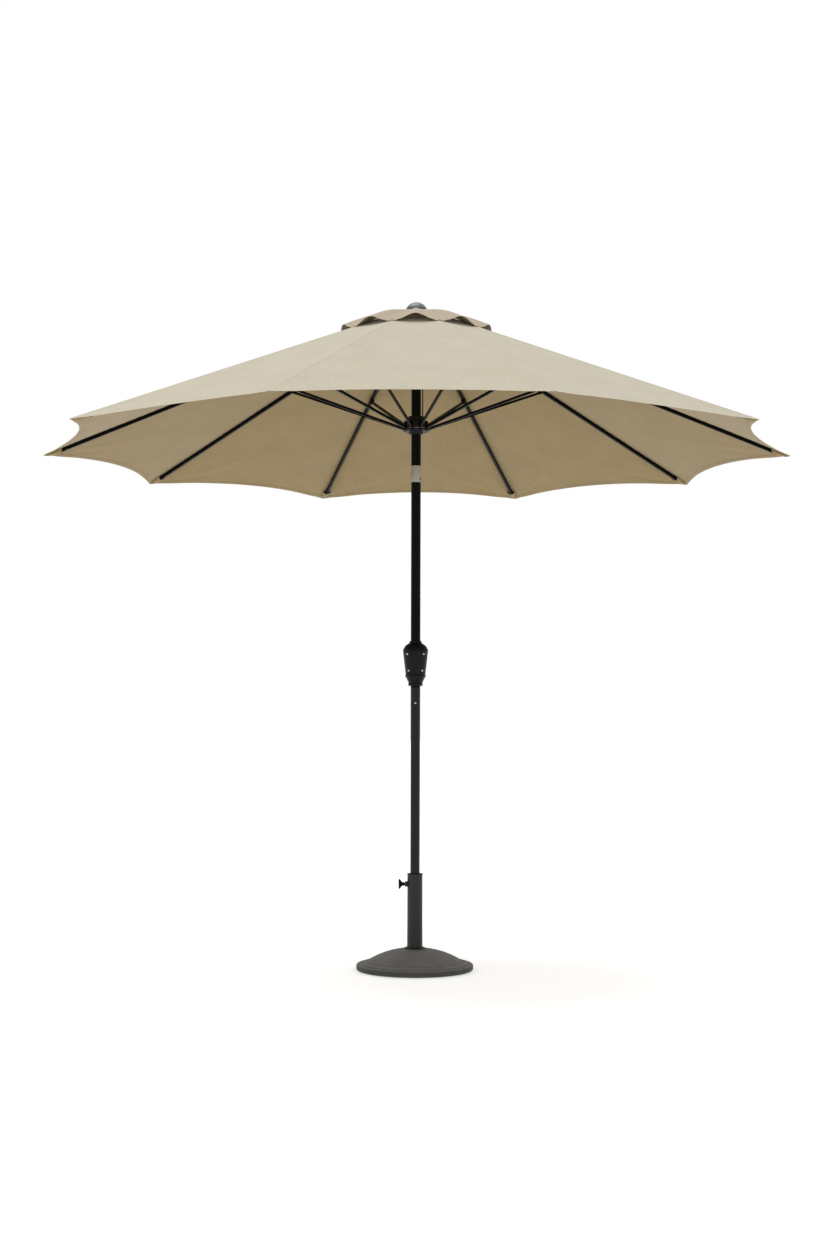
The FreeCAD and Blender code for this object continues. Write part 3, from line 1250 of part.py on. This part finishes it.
def make_canopy():
    """Ten canopy panels, each a main panel and a vent flap, centred on a rib."""
    count = int(number("dims.rib_count"))
    half_angle = math.pi / count
    thickness = number("dims.fabric_thickness")
    seam = number("dims.seam_gap / 2")
    fall = number("tan(dims.rib_slope)") / math.cos(half_angle)
    crest = number("places.ridge_height + dims.hub_pin_radius * tan(dims.rib_slope)")
    hem_bow = number("dims.canopy_hem_bow")
    hem_sag = number("dims.canopy_hem_sag")
    hem = number("places.canopy_hem_radius")
    vent_inner = (number("dims.vent_inner_radius"), number("places.vent_inner_height"))
    vent_hem = (number("dims.vent_hem_radius"), number("places.vent_hem_height"))
    vent_belly = number("dims.vent_hem_belly")
    vent_lift = number("dims.vent_hem_lift")

    def gore(radius, angle):
        """Height of the flat gore between two ribs."""
        return crest - fall * radius * math.cos(half_angle - abs(angle))

    def chord(radius, angle):
        """Radius of a straight line from rib to rib."""
        return radius * math.cos(half_angle) / math.cos(half_angle - abs(angle))

    def bow(share):
        """Curve from nothing at a rib to one at the seam."""
        return 1 - (1 - share) ** 2

    def hole_edge(share, angle):
        radius = chord(number("dims.canopy_hole_radius"), angle)
        return radius, gore(radius, angle)

    def hem_edge(share, angle):
        radius = chord(hem, angle) - hem_bow * bow(share)
        return radius, gore(radius, angle) - hem_sag * bow(share)

    def vent_top(share, angle):
        return vent_inner

    def vent_edge(share, angle):
        return chord(vent_hem[0], angle) + vent_belly * bow(share), vent_hem[1] + vent_lift * bow(share)

    main = fabric_strip(hole_edge, hem_edge, thickness, half_angle, seam, steps=3)
    vent = fabric_strip(vent_top, vent_edge, thickness, half_angle, seam, steps=3)
    panel = Part.makeCompound([main, vent])
    for index in range(count):
        sheet = doc.addObject("Part::Feature", "panel_%d" % index)
        sheet.Shape = panel
        sheet.Placement = Placement(Vector(), Rotation(Vector(0, 0, 1), index * 360 / count))
        keep(sheet, "canopy_panel_%02d" % (index + 1))


# ---------------------------------------------------------------- checks and export

def check_model():
    """Stop if any object failed or any sub-part is not a valid solid."""
    for thing in doc.Objects:
        if "Invalid" in thing.State or "Error" in thing.State:
            raise RuntimeError("%s failed to compute" % thing.Label)
    for node in nodes:
        if node.Shape.isNull() or not node.Shape.isValid() or not node.Shape.Solids:
            raise RuntimeError("%s has no valid solid" % node.Label)


def write_steps():
    """Write each sub-part to its own file."""
    os.makedirs("parts", exist_ok=True)
    for node in nodes:
        node.Shape.exportStep("parts/%s.step" % node.Label)


def print_places():
    """Print the heights and reaches that the joints turn about."""
    for rank in (PLACES, LINKED_PLACES):
        for name, _ in rank:
            print("%s = %.4f" % (name, getattr(places, name)))


def build():
    """Make every sub-part."""
    fill_sheets()
    make_foot()
    make_foot_bolt()
    make_foot_tube()
    make_bush()
    make_thumb_screw()
    make_lower_pole()
    make_middle_pole()
    make_snap_button()
    make_housing_half("shell_front", "crank_housing_front", front=True)
    make_housing_half("shell_back", "crank_housing_back", front=False)
    make_housing_screws()
    make_crank_shaft()
    make_crank_arm()
    make_crank_knob()
    make_tilt_socket()
    make_tilt_tongue()
    make_tilt_pin()
    make_tilt_button()
    make_upper_pole()
    make_top_hub()
    make_pulley()
    make_finial()
    make_runner()
    make_lift_cord()
    make_ribs()
    make_struts()
    make_canopy()
    doc.recompute()


build()
check_model()
write_steps()
print_places()
print("%d sub-parts" % len(nodes))
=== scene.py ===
# %% [markdown]
# # A garden umbrella with a vented canopy
# The hard parts of the umbrella (foot, poles, crank, ribs, struts) come ready made as a fixed frame.
# What is left for Blender is the cloth and every finish. This notebook first loads the frame, then
# sets the stage, then sews the canopy in mesh code, and at last paints each part.

# %% Load the frame
import bpy
import json
import math
from mathutils import Matrix, Vector, noise


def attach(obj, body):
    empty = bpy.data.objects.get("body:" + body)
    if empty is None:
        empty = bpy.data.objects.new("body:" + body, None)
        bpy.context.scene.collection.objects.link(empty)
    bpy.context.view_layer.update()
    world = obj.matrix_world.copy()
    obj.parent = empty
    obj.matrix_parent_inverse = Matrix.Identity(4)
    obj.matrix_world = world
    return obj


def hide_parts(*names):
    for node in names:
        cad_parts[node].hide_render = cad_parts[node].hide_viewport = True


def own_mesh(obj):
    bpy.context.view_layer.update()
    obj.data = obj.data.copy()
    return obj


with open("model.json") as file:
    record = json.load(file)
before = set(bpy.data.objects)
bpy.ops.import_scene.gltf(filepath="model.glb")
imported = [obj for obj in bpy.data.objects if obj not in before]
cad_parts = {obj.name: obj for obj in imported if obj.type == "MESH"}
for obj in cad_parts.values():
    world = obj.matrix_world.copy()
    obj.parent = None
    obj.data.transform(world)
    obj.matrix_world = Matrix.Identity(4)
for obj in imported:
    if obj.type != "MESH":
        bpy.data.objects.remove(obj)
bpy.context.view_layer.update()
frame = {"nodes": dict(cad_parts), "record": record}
MM = 0.001

# %% [markdown]
# ## Camera
# The umbrella is seen from about seven metres with a normal lens, from a little above table height.
# A long distance keeps the poles parallel. The turn about Z is small, so one face of the ten-sided
# canopy looks almost straight at the viewer.

# %% Camera
camera_data = bpy.data.cameras.new("camera")
camera_data.lens = 51.17
camera_data.sensor_width = 36
camera_data.clip_end = 200
camera = bpy.data.objects.new("camera", camera_data)
bpy.context.scene.collection.objects.link(camera)
turn, tilt_up, roll = math.radians(0.58), 0.0505, 0.0026
stand_point = Matrix.Rotation(turn, 4, "Z") @ Vector((0.0015, -7.04, 1.008))
camera.matrix_world = (Matrix.Translation(stand_point) @ Matrix.Rotation(turn, 4, "Z")
                       @ Matrix.Rotation(math.pi / 2 + tilt_up, 4, "X") @ Matrix.Rotation(roll, 4, "Z"))
bpy.context.scene.camera = camera
print("camera stands at", [round(x, 3) for x in stand_point])

# %% [markdown]
# ## One node helper and one colour helper
# Colours are picked as sRGB hex values, the way a paint chart gives them. Shaders work in linear
# light, so one function converts them. A second function adds a shader node with its settings and
# its links in one line, which keeps each material short.


# %% Helpers for materials
def linear(chart_hex):
    """Linear RGBA of an sRGB hex colour."""
    parts = [int(chart_hex[i:i + 2], 16) / 255 for i in (0, 2, 4)]
    return [p / 12.92 if p <= 0.04045 else ((p + 0.055) / 1.055) ** 2.4 for p in parts] + [1.0]


def add_node(tree, kind, inputs=None, **settings):
    """New node; an input is either a value or the output socket that feeds it."""
    made = tree.nodes.new(kind)
    for name, value in settings.items():
        setattr(made, name, value)
    for socket, value in (inputs or {}).items():
        if isinstance(value, bpy.types.NodeSocket):
            tree.links.new(value, made.inputs[socket])
        else:
            made.inputs[socket].default_value = value
    return made


def new_finish(name, **shader_values):
    """Material with one Principled shader whose plain values are set on its own sockets."""
    made = bpy.data.materials.new(name)
    made.use_nodes = True
    shader = made.node_tree.nodes["Principled BSDF"]
    for socket, value in shader_values.items():
        shader.inputs[socket.replace("_", " ")].default_value = value
    return made, made.node_tree, shader


# %% [markdown]
# ## Stage
# A plain white floor and a white surround, as in a product studio. One very broad sun lamp stands
# almost overhead, like the sky panels of a studio ceiling: it lights the top of the canopy evenly,
# leaves the underside in soft shade and, unlike a lamp close by, lights the whole floor alike.

# %% Floor and surround
floor_mesh = bpy.data.meshes.new("floor")
reach = 60.0
corners = [(-reach, -reach, 0), (reach, -reach, 0), (reach, reach, 0), (-reach, reach, 0)]
floor_mesh.from_pydata(corners, [], [(0, 1, 2, 3)])
floor = bpy.data.objects.new("floor", floor_mesh)
bpy.context.scene.collection.objects.link(floor)
floor_finish, floor_tree, floor_shader = new_finish("matt_studio_paper", Roughness=0.95)
floor_shader.inputs["Base Color"].default_value = linear("f4f4f3")
floor_shader.inputs["Specular IOR Level"].default_value = 0.1
floor_shader.inputs["Emission Color"].default_value = (1, 1, 1, 1)
floor_shader.inputs["Emission Strength"].default_value = 0.52
floor_mesh.materials.append(floor_finish)

surround = bpy.data.worlds.new("studio_surround")
surround.use_nodes = True
bpy.context.scene.world = surround
sky_tree = surround.node_tree
SURROUND_LIGHT = 0.62
backdrop = sky_tree.nodes["Background"]
backdrop.inputs["Color"].default_value = (1, 1, 1, 1)
rays = add_node(sky_tree, "ShaderNodeLightPath")
strength = add_node(sky_tree, "ShaderNodeMapRange", {"Value": rays.outputs["Is Camera Ray"],
                                                     "To Min": SURROUND_LIGHT, "To Max": 1.0})
sky_tree.links.new(strength.outputs["Result"], backdrop.inputs["Strength"])
bpy.context.scene.view_settings.view_transform = "Standard"


# %% Overhead light
panel_light = bpy.data.lights.new("sky_panels", "SUN")
panel_light.energy = 1.75
panel_light.angle = math.radians(50)
panels = bpy.data.objects.new("sky_panels", panel_light)
bpy.context.scene.collection.objects.link(panels)
panels.rotation_euler = Vector((-0.15, 0.12, 1)).to_track_quat("Z", "Y").to_euler()
print("stage is set")

# %% [markdown]
# ## The canopy's measures
# The cloth has to lie exactly on the ribs, so its measures are read from the frame: the points where
# the plain stand-in panel crosses rib 01 give the ridge line, and its far corner gives how much the
# hem is hollowed and how much it sags between two ribs.

# %% Read the ridge line
RIBS = 10
HALF = math.pi / RIBS
stand_in = frame["nodes"]["canopy_panel_01"].data
ridge = {}
for corner in stand_in.vertices:
    if abs(corner.co.y) < 1e-5:
        along = round(corner.co.x, 4)
        ridge[along] = max(ridge.get(along, 0), corner.co.z)
vent_inner, hole, vent_rim, tip = sorted(ridge)
fall = (ridge[hole] - ridge[tip]) / (tip - hole)
middle = max((c.co for c in stand_in.vertices if abs(math.atan2(c.co.y, c.co.x)) > 0.99 * HALF),
             key=lambda point: point.xy.length)


def ridge_height(along):
    """Height of the cloth over a rib, that far from the pole."""
    return ridge[hole] - fall * (along - hole)


hem_bow = tip * math.cos(HALF) - middle.xy.length
hem_sag = ridge_height(middle.xy.length / math.cos(HALF)) - middle.z
print("tip at %.3f m, hem bow %.0f mm, hem sag %.0f mm" % (tip, hem_bow / MM, hem_sag / MM))


# %% [markdown]
# ## One gore of cloth as a formula
# A gore is the piece of cloth between two ribs. It could be modelled by hand and smoothed, or dropped
# with the cloth simulation. Here the cloth is pulled tight, so its shape is known: it is straight over
# each rib, sags a little towards the middle, and its hem is cut hollow. A formula gives that at any
# density, and neighbours meet without a gap because both use the same formula.

# %% Shape of the main canopy
SEAM_HALF = 6 * MM
SEAM_RISE = 1.1 * MM
PUCKER_STEP = 38 * MM
PUCKER_RISE = 0.8 * MM
PUCKER_REACH = 22 * MM
FOLD_RISE = 1.6 * MM
FOLD_COUNT = 13
FOLD_START, FOLD_SPREAD = 160 * MM, 120 * MM
UNREST_RISE = 1.3 * MM


def slack(share):
    """Nothing at a rib, one in the middle of a gore, with no crease there."""
    return 1 - (1 - share) ** 2


def turn_out(out, across, height, side):
    """Point of a gore in the rib's frame, from its place along and across the gore's middle line."""
    x = out * math.cos(HALF) + across * math.sin(HALF)
    y = out * math.sin(HALF) - across * math.cos(HALF)
    return Vector((x, side * y, height))


def puckers(along, aside):
    """Small gathers that a sewing machine leaves beside a seam."""
    fade = math.exp(-aside / PUCKER_REACH) * min(1.0, aside / SEAM_HALF)
    wander = noise.noise(Vector((along * 9, 0.3, 0.7))) * 2.2
    return PUCKER_RISE * fade * math.sin(2 * math.pi * along / PUCKER_STEP + wander)


def tension(along, aside):
    """Shallow folds that fan out from the tip of a rib, where the cloth is stretched hardest."""
    back = tip - along
    distance = math.hypot(back, aside)
    window = math.exp(-((distance - FOLD_START) / FOLD_SPREAD) ** 2)
    return FOLD_RISE * window * math.sin(FOLD_COUNT * math.atan2(aside, back + 20 * MM))


def main_point(along, aside, side):
    """Cloth of the main canopy: the row that meets the rib at along, that far aside of the rib."""
    row = (along - hole) / (tip - hole)
    half_chord = along * math.sin(HALF)
    share = min(1.0, aside / half_chord)
    out = along * math.cos(HALF) - hem_bow * row ** 3 * slack(share)
    height = ridge_height(out / math.cos(HALF)) - hem_sag * row ** 1.4 * slack(share)
    flat = turn_out(out, half_chord - aside, height, side)
    wander = noise.noise(Vector((out * 7, side * (half_chord - aside) * 5, 4.1)))
    unrest = wander * UNREST_RISE * slack(share)
    seam = SEAM_RISE if aside < SEAM_HALF else 0
    lift = seam + puckers(along, aside) + tension(along, aside) + unrest
    return flat + Vector((0, 0, lift)), (half_chord - aside, out)


# %% [markdown]
# ## The vent cap
# A wind vent is a second, small canopy over the hole in the big one. Its edge lies down beside each
# rib, where it is sewn, and arches up in between to let the wind out. The arch is a squared sine, so
# it starts and ends without a kink.

# %% Shape of the vent cap
VENT_LAND = 25 * MM
VENT_ARCH = 21 * MM
VENT_RISE = 6 * MM
VENT_DIP = 4.5 * MM
VENT_BELLY = 22 * MM
VENT_BILLOW, ARCH_BILLOW = 7 * MM, 11 * MM
VENT_LUMPS = 2.4 * MM


def vent_point(along, aside, side):
    """Cloth of the vent cap, described like the main canopy."""
    row = (along - vent_inner) / (vent_rim - vent_inner)
    half_chord = along * math.sin(HALF)
    land = VENT_LAND * along / vent_rim
    span = min(1.0, max(0.0, (aside - land) / (half_chord - land)))
    arch = math.sin(math.pi / 2 * span) ** 1.7
    low = ridge_height(vent_rim) + VENT_RISE
    billow = (VENT_BILLOW + ARCH_BILLOW * arch) * math.sin(math.pi * row ** 1.2)
    height = ridge[vent_inner] + (low - ridge[vent_inner]) * row + billow + VENT_ARCH * row ** 2 * arch
    if aside < land:
        height -= VENT_DIP * row ** 2 * math.sin(math.pi * aside / land)
    lumps = noise.noise(Vector((along * 13, aside * 17 * side, 1.7))) * (1 - arch)
    height += VENT_LUMPS * lumps * math.sin(math.pi * min(1.0, row * 1.1))
    out = along * math.cos(HALF) + VENT_BELLY * row ** 2 * slack(min(1.0, aside / half_chord))
    return turn_out(out, half_chord - aside, height, side), (half_chord - aside, out)


# %% [markdown]
# ## Sewing a panel
# The mesh is a grid: rows run from the pole to the hem, columns from gore middle to gore middle over
# the rib. The columns stand close beside the seam, where the felled seam makes a small step, and wide
# apart elsewhere. The last rows fold under and make the hem. A Solidify modifier gives the cloth its
# real thickness of 0.7 mm. The UV map is in metres from the middle of the gore, so the weave runs on
# from panel to panel and turns only at the seams, as cut cloth does.

# %% Panel builder
CLOTH = 0.7 * MM
SEAM_COLUMNS = [0, 3, 5.6, 6.6, 9, 13, 18, 24, 31, 40]
OPEN_COLUMNS = 14


def column_places(half_chord):
    """Distances from the rib, closer together beside the seam."""
    scale = min(1.0, half_chord / (60 * MM))
    near = [c * MM * scale for c in SEAM_COLUMNS]
    step = (half_chord - near[-1]) / OPEN_COLUMNS
    return near + [near[-1] + step * (i + 1) for i in range(OPEN_COLUMNS)]


def sew_panel(name, point, start, end, rows, hem_width):
    """Panel over one rib, from gore middle to gore middle, with its hem turned under."""
    stations = [(start + (end - start) * r / rows, 0) for r in range(rows + 1)]
    stations += [(end - back * hem_width, 1.7 * MM) for back in (0.02, 0.5, 1.0)]
    points, cloth_uv = [], []
    for along, under in stations:
        places = column_places(along * math.sin(HALF))
        both = [(-1, c) for c in reversed(places[1:])] + [(1, c) for c in places]
        for side, aside in both:
            at, (across, out) = point(along, aside, side)
            points.append(at - Vector((0, 0, under)))
            cloth_uv.append((side * across, out))
    width = 2 * (len(SEAM_COLUMNS) + OPEN_COLUMNS) - 1
    faces = []
    for r in range(len(stations) - 1):
        for c in range(width - 1):
            low = r * width + c
            faces.append((low, low + width, low + width + 1, low + 1))
    mesh = bpy.data.meshes.new(name)
    mesh.from_pydata(points, [], faces)
    layer = mesh.uv_layers.new(name="cloth")
    for loop in mesh.loops:
        layer.data[loop.index].uv = cloth_uv[loop.vertex_index]
    for face in mesh.polygons:
        face.use_smooth = True
        face.material_index = 1 if face.index >= (rows + 1) * (width - 1) else 0
    piece = bpy.data.objects.new(name, mesh)
    bpy.context.scene.collection.objects.link(piece)
    return piece


# %% [markdown]
# ## Woven polyester
# The canopy is solution-dyed polyester in plain weave: the fibres are coloured before they are spun,
# so the colour is even and only the light on the threads varies. Threads are about 0.5 mm apart,
# which is far too fine to show from seven metres, so the weave is drawn at 3 mm, and slubs, the
# thicker stretches of yarn that really are 20 to 100 mm long, carry the cloth look at a distance.
# The back of the cloth is drawn as a darker, browner copy of the face: painted shade for the
# underside of the canopy and for the warm light that shines through the cloth.

# %% Cloth material
THREAD = 3 * MM
SLUB_WIDTH = 5 * MM
SLUB_LENGTH = 110 * MM
BANDS_PER_UNIT = 3.2


def woven_polyester(name, light_side, shade_side):
    """Matt cloth with a plain weave, slubs both ways and a slight cloudiness."""
    made, tree, shader = new_finish(name, Roughness=0.88, IOR=1.5)
    shader.inputs["Specular IOR Level"].default_value = 0.25
    shader.inputs["Sheen Weight"].default_value = 0.12
    shader.inputs["Sheen Roughness"].default_value = 0.5
    cloth = add_node(tree, "ShaderNodeUVMap", uv_map="cloth").outputs["UV"]
    threads = {"Vector": cloth, "Scale": 1 / THREAD / BANDS_PER_UNIT, "Distortion": 0.6}
    weft, warp = [add_node(tree, "ShaderNodeTexWave", threads, bands_direction=way).outputs["Fac"]
                  for way in "XY"]
    slubs = []
    for scale in ((1 / SLUB_WIDTH, 1 / SLUB_LENGTH, 1), (1 / SLUB_LENGTH, 1 / SLUB_WIDTH, 1)):
        stretched = add_node(tree, "ShaderNodeMapping", {"Vector": cloth, "Scale": scale}).outputs["Vector"]
        slubs.append(add_node(tree, "ShaderNodeTexNoise", {"Vector": stretched, "Scale": 1.0, "Detail": 3.0})
                     .outputs["Fac"])
    clouds = add_node(tree, "ShaderNodeTexNoise",
                      {"Vector": cloth, "Scale": 4.0, "Detail": 4.0}).outputs["Fac"]
    weave = add_node(tree, "ShaderNodeMath", {0: weft, 1: warp}, operation="MULTIPLY").outputs["Value"]
    yarns = add_node(tree, "ShaderNodeMath", {0: slubs[0], 1: slubs[1]}, operation="ADD").outputs["Value"]
    tone = add_node(tree, "ShaderNodeMath", {0: yarns, 1: clouds}, operation="ADD").outputs["Value"]
    spread = add_node(tree, "ShaderNodeMapRange",
                      {"Value": tone, "From Min": 1.15, "From Max": 1.85}).outputs["Result"]
    tones = {"Factor": spread, "A": linear(shade_side), "B": linear(light_side)}
    colour = add_node(tree, "ShaderNodeMix", tones, data_type="RGBA").outputs["Result"]
    tree.links.new(colour, shader.inputs["Base Color"])
    relief = add_node(tree, "ShaderNodeMath", {0: weave, 1: yarns}, operation="ADD").outputs["Value"]
    bump = add_node(tree, "ShaderNodeBump", {"Height": relief, "Strength": 0.35, "Distance": 0.4 * MM})
    tree.links.new(bump.outputs["Normal"], shader.inputs["Normal"])
    return made


cloth_top = woven_polyester("woven_polyester_face", "c6beaa", "bbb29d")
# Painted shade: the back is the same cloth as the face, drawn darker and browner for the shade under the
# canopy and the warm light that shines through the cloth.
cloth_back_painted_shade = woven_polyester("woven_polyester_back_painted_shade", "816f4b", "776643")
cloth_vent = woven_polyester("woven_polyester_vent", "b9ac95", "aea18a")
print("cloth finishes made")

# %% [markdown]
# ## Hanging the cloth on the ribs
# Each panel rides its own rib. The stand-in panels are replaced.


# %% Cut, sew and hang the panels
RIM_ANGLE = math.radians(60)
GORE_ROWS, FLAP_ROWS = 150, 34


def hang(piece, index, top, back):
    """Turn a panel to its rib and let it ride with it."""
    angle = 2 * math.pi * (index - 1) / RIBS
    piece.data.transform(Matrix.Rotation(angle, 4, "Z"))
    piece.data.materials.append(top)
    piece.data.materials.append(back)
    skin = piece.modifiers.new("cloth_thickness", "SOLIDIFY")
    skin.thickness, skin.offset = CLOTH, -1
    # The inner side and the rims take the second finish; on the gores that is the back, drawn darker with
    # painted shade.
    skin.material_offset, skin.material_offset_rim = 1, 1
    piece.modifiers.new("crisp_rims", "EDGE_SPLIT").split_angle = RIM_ANGLE
    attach(piece, "rib_%02d" % index)
    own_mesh(piece)


for index in range(1, RIBS + 1):
    gore = sew_panel("canopy_gore_%02d" % index, main_point, hole, tip, GORE_ROWS, hem_width=20 * MM)
    hang(gore, index, cloth_top, cloth_back_painted_shade)
    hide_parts("canopy_panel_%02d" % index)
    flap = sew_panel("vent_flap_%02d" % index, vent_point, vent_inner, vent_rim, FLAP_ROWS, hem_width=10 * MM)
    hang(flap, index, cloth_vent, cloth_vent)
    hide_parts("canopy_panel_%02d" % index)

# %% [markdown]
# ## Tip pockets
# Under each tip a small three-cornered pocket is sewn to the cloth. The rib's end pin slips into it
# and stretches the whole gore. The pocket is a shallow pouch: its two long edges lie on the cloth and
# its middle hangs just below the pin.

# %% Pocket pieces
POCKET_LENGTH = 66 * MM
POCKET_HALF = 22 * MM
POCKET_TOE = 5 * MM
POCKET_GAP = 1.0 * MM
POCKET_RUCK = 0.5 * MM
POCKET_DEPTH = 14.8 * MM
POCKET_CLOSE = 3.5
POCKET_ROWS = 14
POCKET_COLUMNS = 16


def sew_pocket(index):
    """Pouch under the tip of one rib."""
    points, cloth_uv, faces = [], [], []
    for r in range(POCKET_ROWS + 1):
        gone = r / POCKET_ROWS
        along = tip - 1.5 * MM - POCKET_LENGTH * (1 - gone)
        half = POCKET_HALF * (1 - gone) + POCKET_TOE * gone
        for c in range(POCKET_COLUMNS + 1):
            lean = math.pi * c / POCKET_COLUMNS
            aside = half * math.cos(lean)
            cover, _ = main_point(along, abs(aside), 1 if aside >= 0 else -1)
            pouch = POCKET_DEPTH * math.sin(lean) ** 0.8 * (1 - gone ** POCKET_CLOSE)
            depth = pouch + CLOTH + POCKET_GAP
            ruck = POCKET_RUCK * math.sin(5 * lean + 9 * gone) * math.sin(lean)
            points.append(cover - Vector((0, 0, depth + ruck)))
            cloth_uv.append((aside, along))
    width = POCKET_COLUMNS + 1
    for r in range(POCKET_ROWS):
        for c in range(POCKET_COLUMNS):
            low = r * width + c
            faces.append((low, low + width, low + width + 1, low + 1))
    mesh = bpy.data.meshes.new("tip_pocket_%02d" % index)
    mesh.from_pydata(points, [], faces)
    layer = mesh.uv_layers.new(name="cloth")
    for loop in mesh.loops:
        layer.data[loop.index].uv = cloth_uv[loop.vertex_index]
    for face in mesh.polygons:
        face.use_smooth = True
    piece = bpy.data.objects.new(mesh.name, mesh)
    bpy.context.scene.collection.objects.link(piece)
    return piece


for index in range(1, RIBS + 1):
    pocket = sew_pocket(index)
    # The pockets hang under the cloth and take the back finish with its painted shade.
    hang(pocket, index, cloth_back_painted_shade, cloth_back_painted_shade)
    pocket.modifiers["cloth_thickness"].offset = 1

# %% [markdown]
# ## Hard finishes
# All hard parts share one recipe: a base tone that wanders a little, roughness that wanders with it,
# and a fine bump at the real grain size. What changes is the scale and the strength: powder coat has
# a soft orange peel about 1.5 mm across, moulded nylon a fine spark-eroded grain, cast resin a coarse
# stone grain, and brushed aluminium long straight scratches.


# %% Recipe for hard finishes
def grained(name, light_hex, dark_hex, grain_mm, grain_depth_mm, rough, metal=0.0, gloss=0.5,
            stretch=(1, 1, 1), cloud_mm=60, painted_side_shade=1.0):
    """Finish with a wandering tone and a real grain.

    stretch pulls the grain along an axis, and the last argument darkens upright faces with painted shade, so
    faces that look up read as lit from above.
    """
    made, tree, shader = new_finish(name, Metallic=metal)
    shader.inputs["Specular IOR Level"].default_value = gloss
    place = add_node(tree, "ShaderNodeTexCoord").outputs["Object"]
    pulled = add_node(tree, "ShaderNodeMapping", {"Vector": place, "Scale": stretch}).outputs["Vector"]
    grain = add_node(tree, "ShaderNodeTexNoise",
                     {"Vector": pulled, "Scale": 1 / (grain_mm * MM), "Detail": 2.0})
    clouds = add_node(tree, "ShaderNodeTexNoise",
                      {"Vector": place, "Scale": 1 / (cloud_mm * MM), "Detail": 3.0})
    both = add_node(tree, "ShaderNodeMath", {0: grain.outputs["Fac"], 1: clouds.outputs["Fac"]},
                    operation="ADD")
    tone = add_node(tree, "ShaderNodeMapRange",
                    {"Value": both.outputs["Value"], "From Min": 0.75, "From Max": 1.25})
    colour = add_node(tree, "ShaderNodeMix", {"Factor": tone.outputs["Result"], "A": linear(dark_hex),
                                              "B": linear(light_hex)}, data_type="RGBA")
    # Painted shade: the faces that stand upright are darkened by the last argument, so the faces that look up
    # read as lit from above.
    surface = add_node(tree, "ShaderNodeNewGeometry")
    facing = add_node(tree, "ShaderNodeSeparateXYZ", {"Vector": surface.outputs["Normal"]})
    painted_slope_shade = add_node(tree, "ShaderNodeMapRange",
                     {"Value": facing.outputs["Z"], "From Min": 0.2, "From Max": 0.9,
                      "To Min": painted_side_shade, "To Max": 1.0})
    shaded = add_node(tree, "ShaderNodeVectorMath", {0: colour.outputs["Result"], 3: painted_slope_shade.outputs["Result"]},
                      operation="SCALE")
    tree.links.new(shaded.outputs["Vector"], shader.inputs["Base Color"])
    sheen = add_node(tree, "ShaderNodeMapRange",
                     {"Value": clouds.outputs["Fac"], "From Min": 0.3, "From Max": 0.7,
                      "To Min": rough - 0.06, "To Max": rough + 0.06})
    tree.links.new(sheen.outputs["Result"], shader.inputs["Roughness"])
    relief = add_node(tree, "ShaderNodeBump", {"Height": grain.outputs["Fac"], "Strength": 0.5,
                                               "Distance": grain_depth_mm * MM})
    tree.links.new(relief.outputs["Normal"], shader.inputs["Normal"])
    return made


# %% [markdown]
# ## The palette
# Each finish is named for what it is on the real umbrella and how its surface was made. The poles are
# powder coated: the upper ones black, the lower one a shade lighter. The foot is resin filled with
# stone flour and cast in a mould, which leaves it dull and mottled; its upright rim is darkened with
# painted shade, so the faces that look up read lighter, as if lit from above.

# %% Finishes by material slot
finishes = {
    # Painted shade on the foot: its upright rim is drawn darker, and its top stays light as if lit from
    # above.
    "foot_resin": grained("cast_stone_resin", "7d7c78", "696864", 2.2, 0.25, 0.62, gloss=0.3, cloud_mm=45,
                           painted_side_shade=0.3),
    "foot_steel": grained("black_powder_coat_foot", "252525", "1c1c1c", 1.5, 0.05, 0.42, gloss=0.3),
    "pole_steel": grained("charcoal_powder_coat", "1d1c1d", "171717", 1.5, 0.04, 0.38, gloss=0.18),
    "upper_steel": grained("black_powder_coat", "0b0b0a", "080807", 1.5, 0.04, 0.42, gloss=0.06),
    "plastic_black": grained("moulded_nylon_black", "131313", "0d0d0d", 0.9, 0.05, 0.5, gloss=0.18),
    "plastic_housing": grained("moulded_nylon_housing", "111111", "0c0c0c", 0.9, 0.04, 0.42, gloss=0.12),
    "plastic_finial": grained("moulded_grey_plastic", "75767b", "696a6f", 0.9, 0.03, 0.35, gloss=0.5),
    "band_metal": grained("brushed_aluminium", "c9c8c4", "a9a8a4", 0.6, 0.03, 0.34, metal=1.0,
                          stretch=(1, 1, 0.02)),
    "zinc_steel": grained("zinc_plated_steel", "c4c6c8", "a8aaae", 1.2, 0.03, 0.3, metal=1.0),
    "rubber_black": grained("moulded_rubber", "1a1a1a", "121212", 0.8, 0.08, 0.8, gloss=0.3),
    "cord_black": grained("braided_polyester_cord", "202020", "0e0e0e", 1.4, 0.4, 0.75, gloss=0.2,
                          stretch=(1, 1, 0.5)),
}
for part in frame["record"]["subparts"]:
    if part["material_slot"] in finishes:
        for holder in frame["nodes"][part["node"]].material_slots:
            holder.material = finishes[part["material_slot"]]
print(len(finishes), "finishes on the hard parts")

# %% [markdown]
# ## Soft edges
# No moulded or cast edge is razor sharp. A small Bevel modifier on the frame's own parts catches a
# thin line of light along each edge. The frame's meshes are split along their edges, so a Weld
# modifier joins them first.

# %% Bevel the moulded and cast parts
EDGE_SIZES = {"base_weight": 1.6, "base_collar": 1.0, "tube_bush": 0.5, "crank_housing_front": 0.8,
              "crank_housing_back": 0.8, "crank_arm": 0.5, "crank_knob": 0.6, "thumb_screw": 0.8,
              "runner_hub": 0.6, "top_hub": 0.6, "finial": 0.8}
for node_name, edge_size in EDGE_SIZES.items():
    part = frame["nodes"][node_name]
    weld = part.modifiers.new("join_split_edges", "WELD")
    weld.merge_threshold = 0.01 * MM
    soften = part.modifiers.new("soft_edges", "BEVEL")
    soften.width, soften.segments = edge_size * MM, 2
    soften.limit_method, soften.angle_limit = "ANGLE", math.radians(35)
print("soft edges on", len(EDGE_SIZES), "parts")
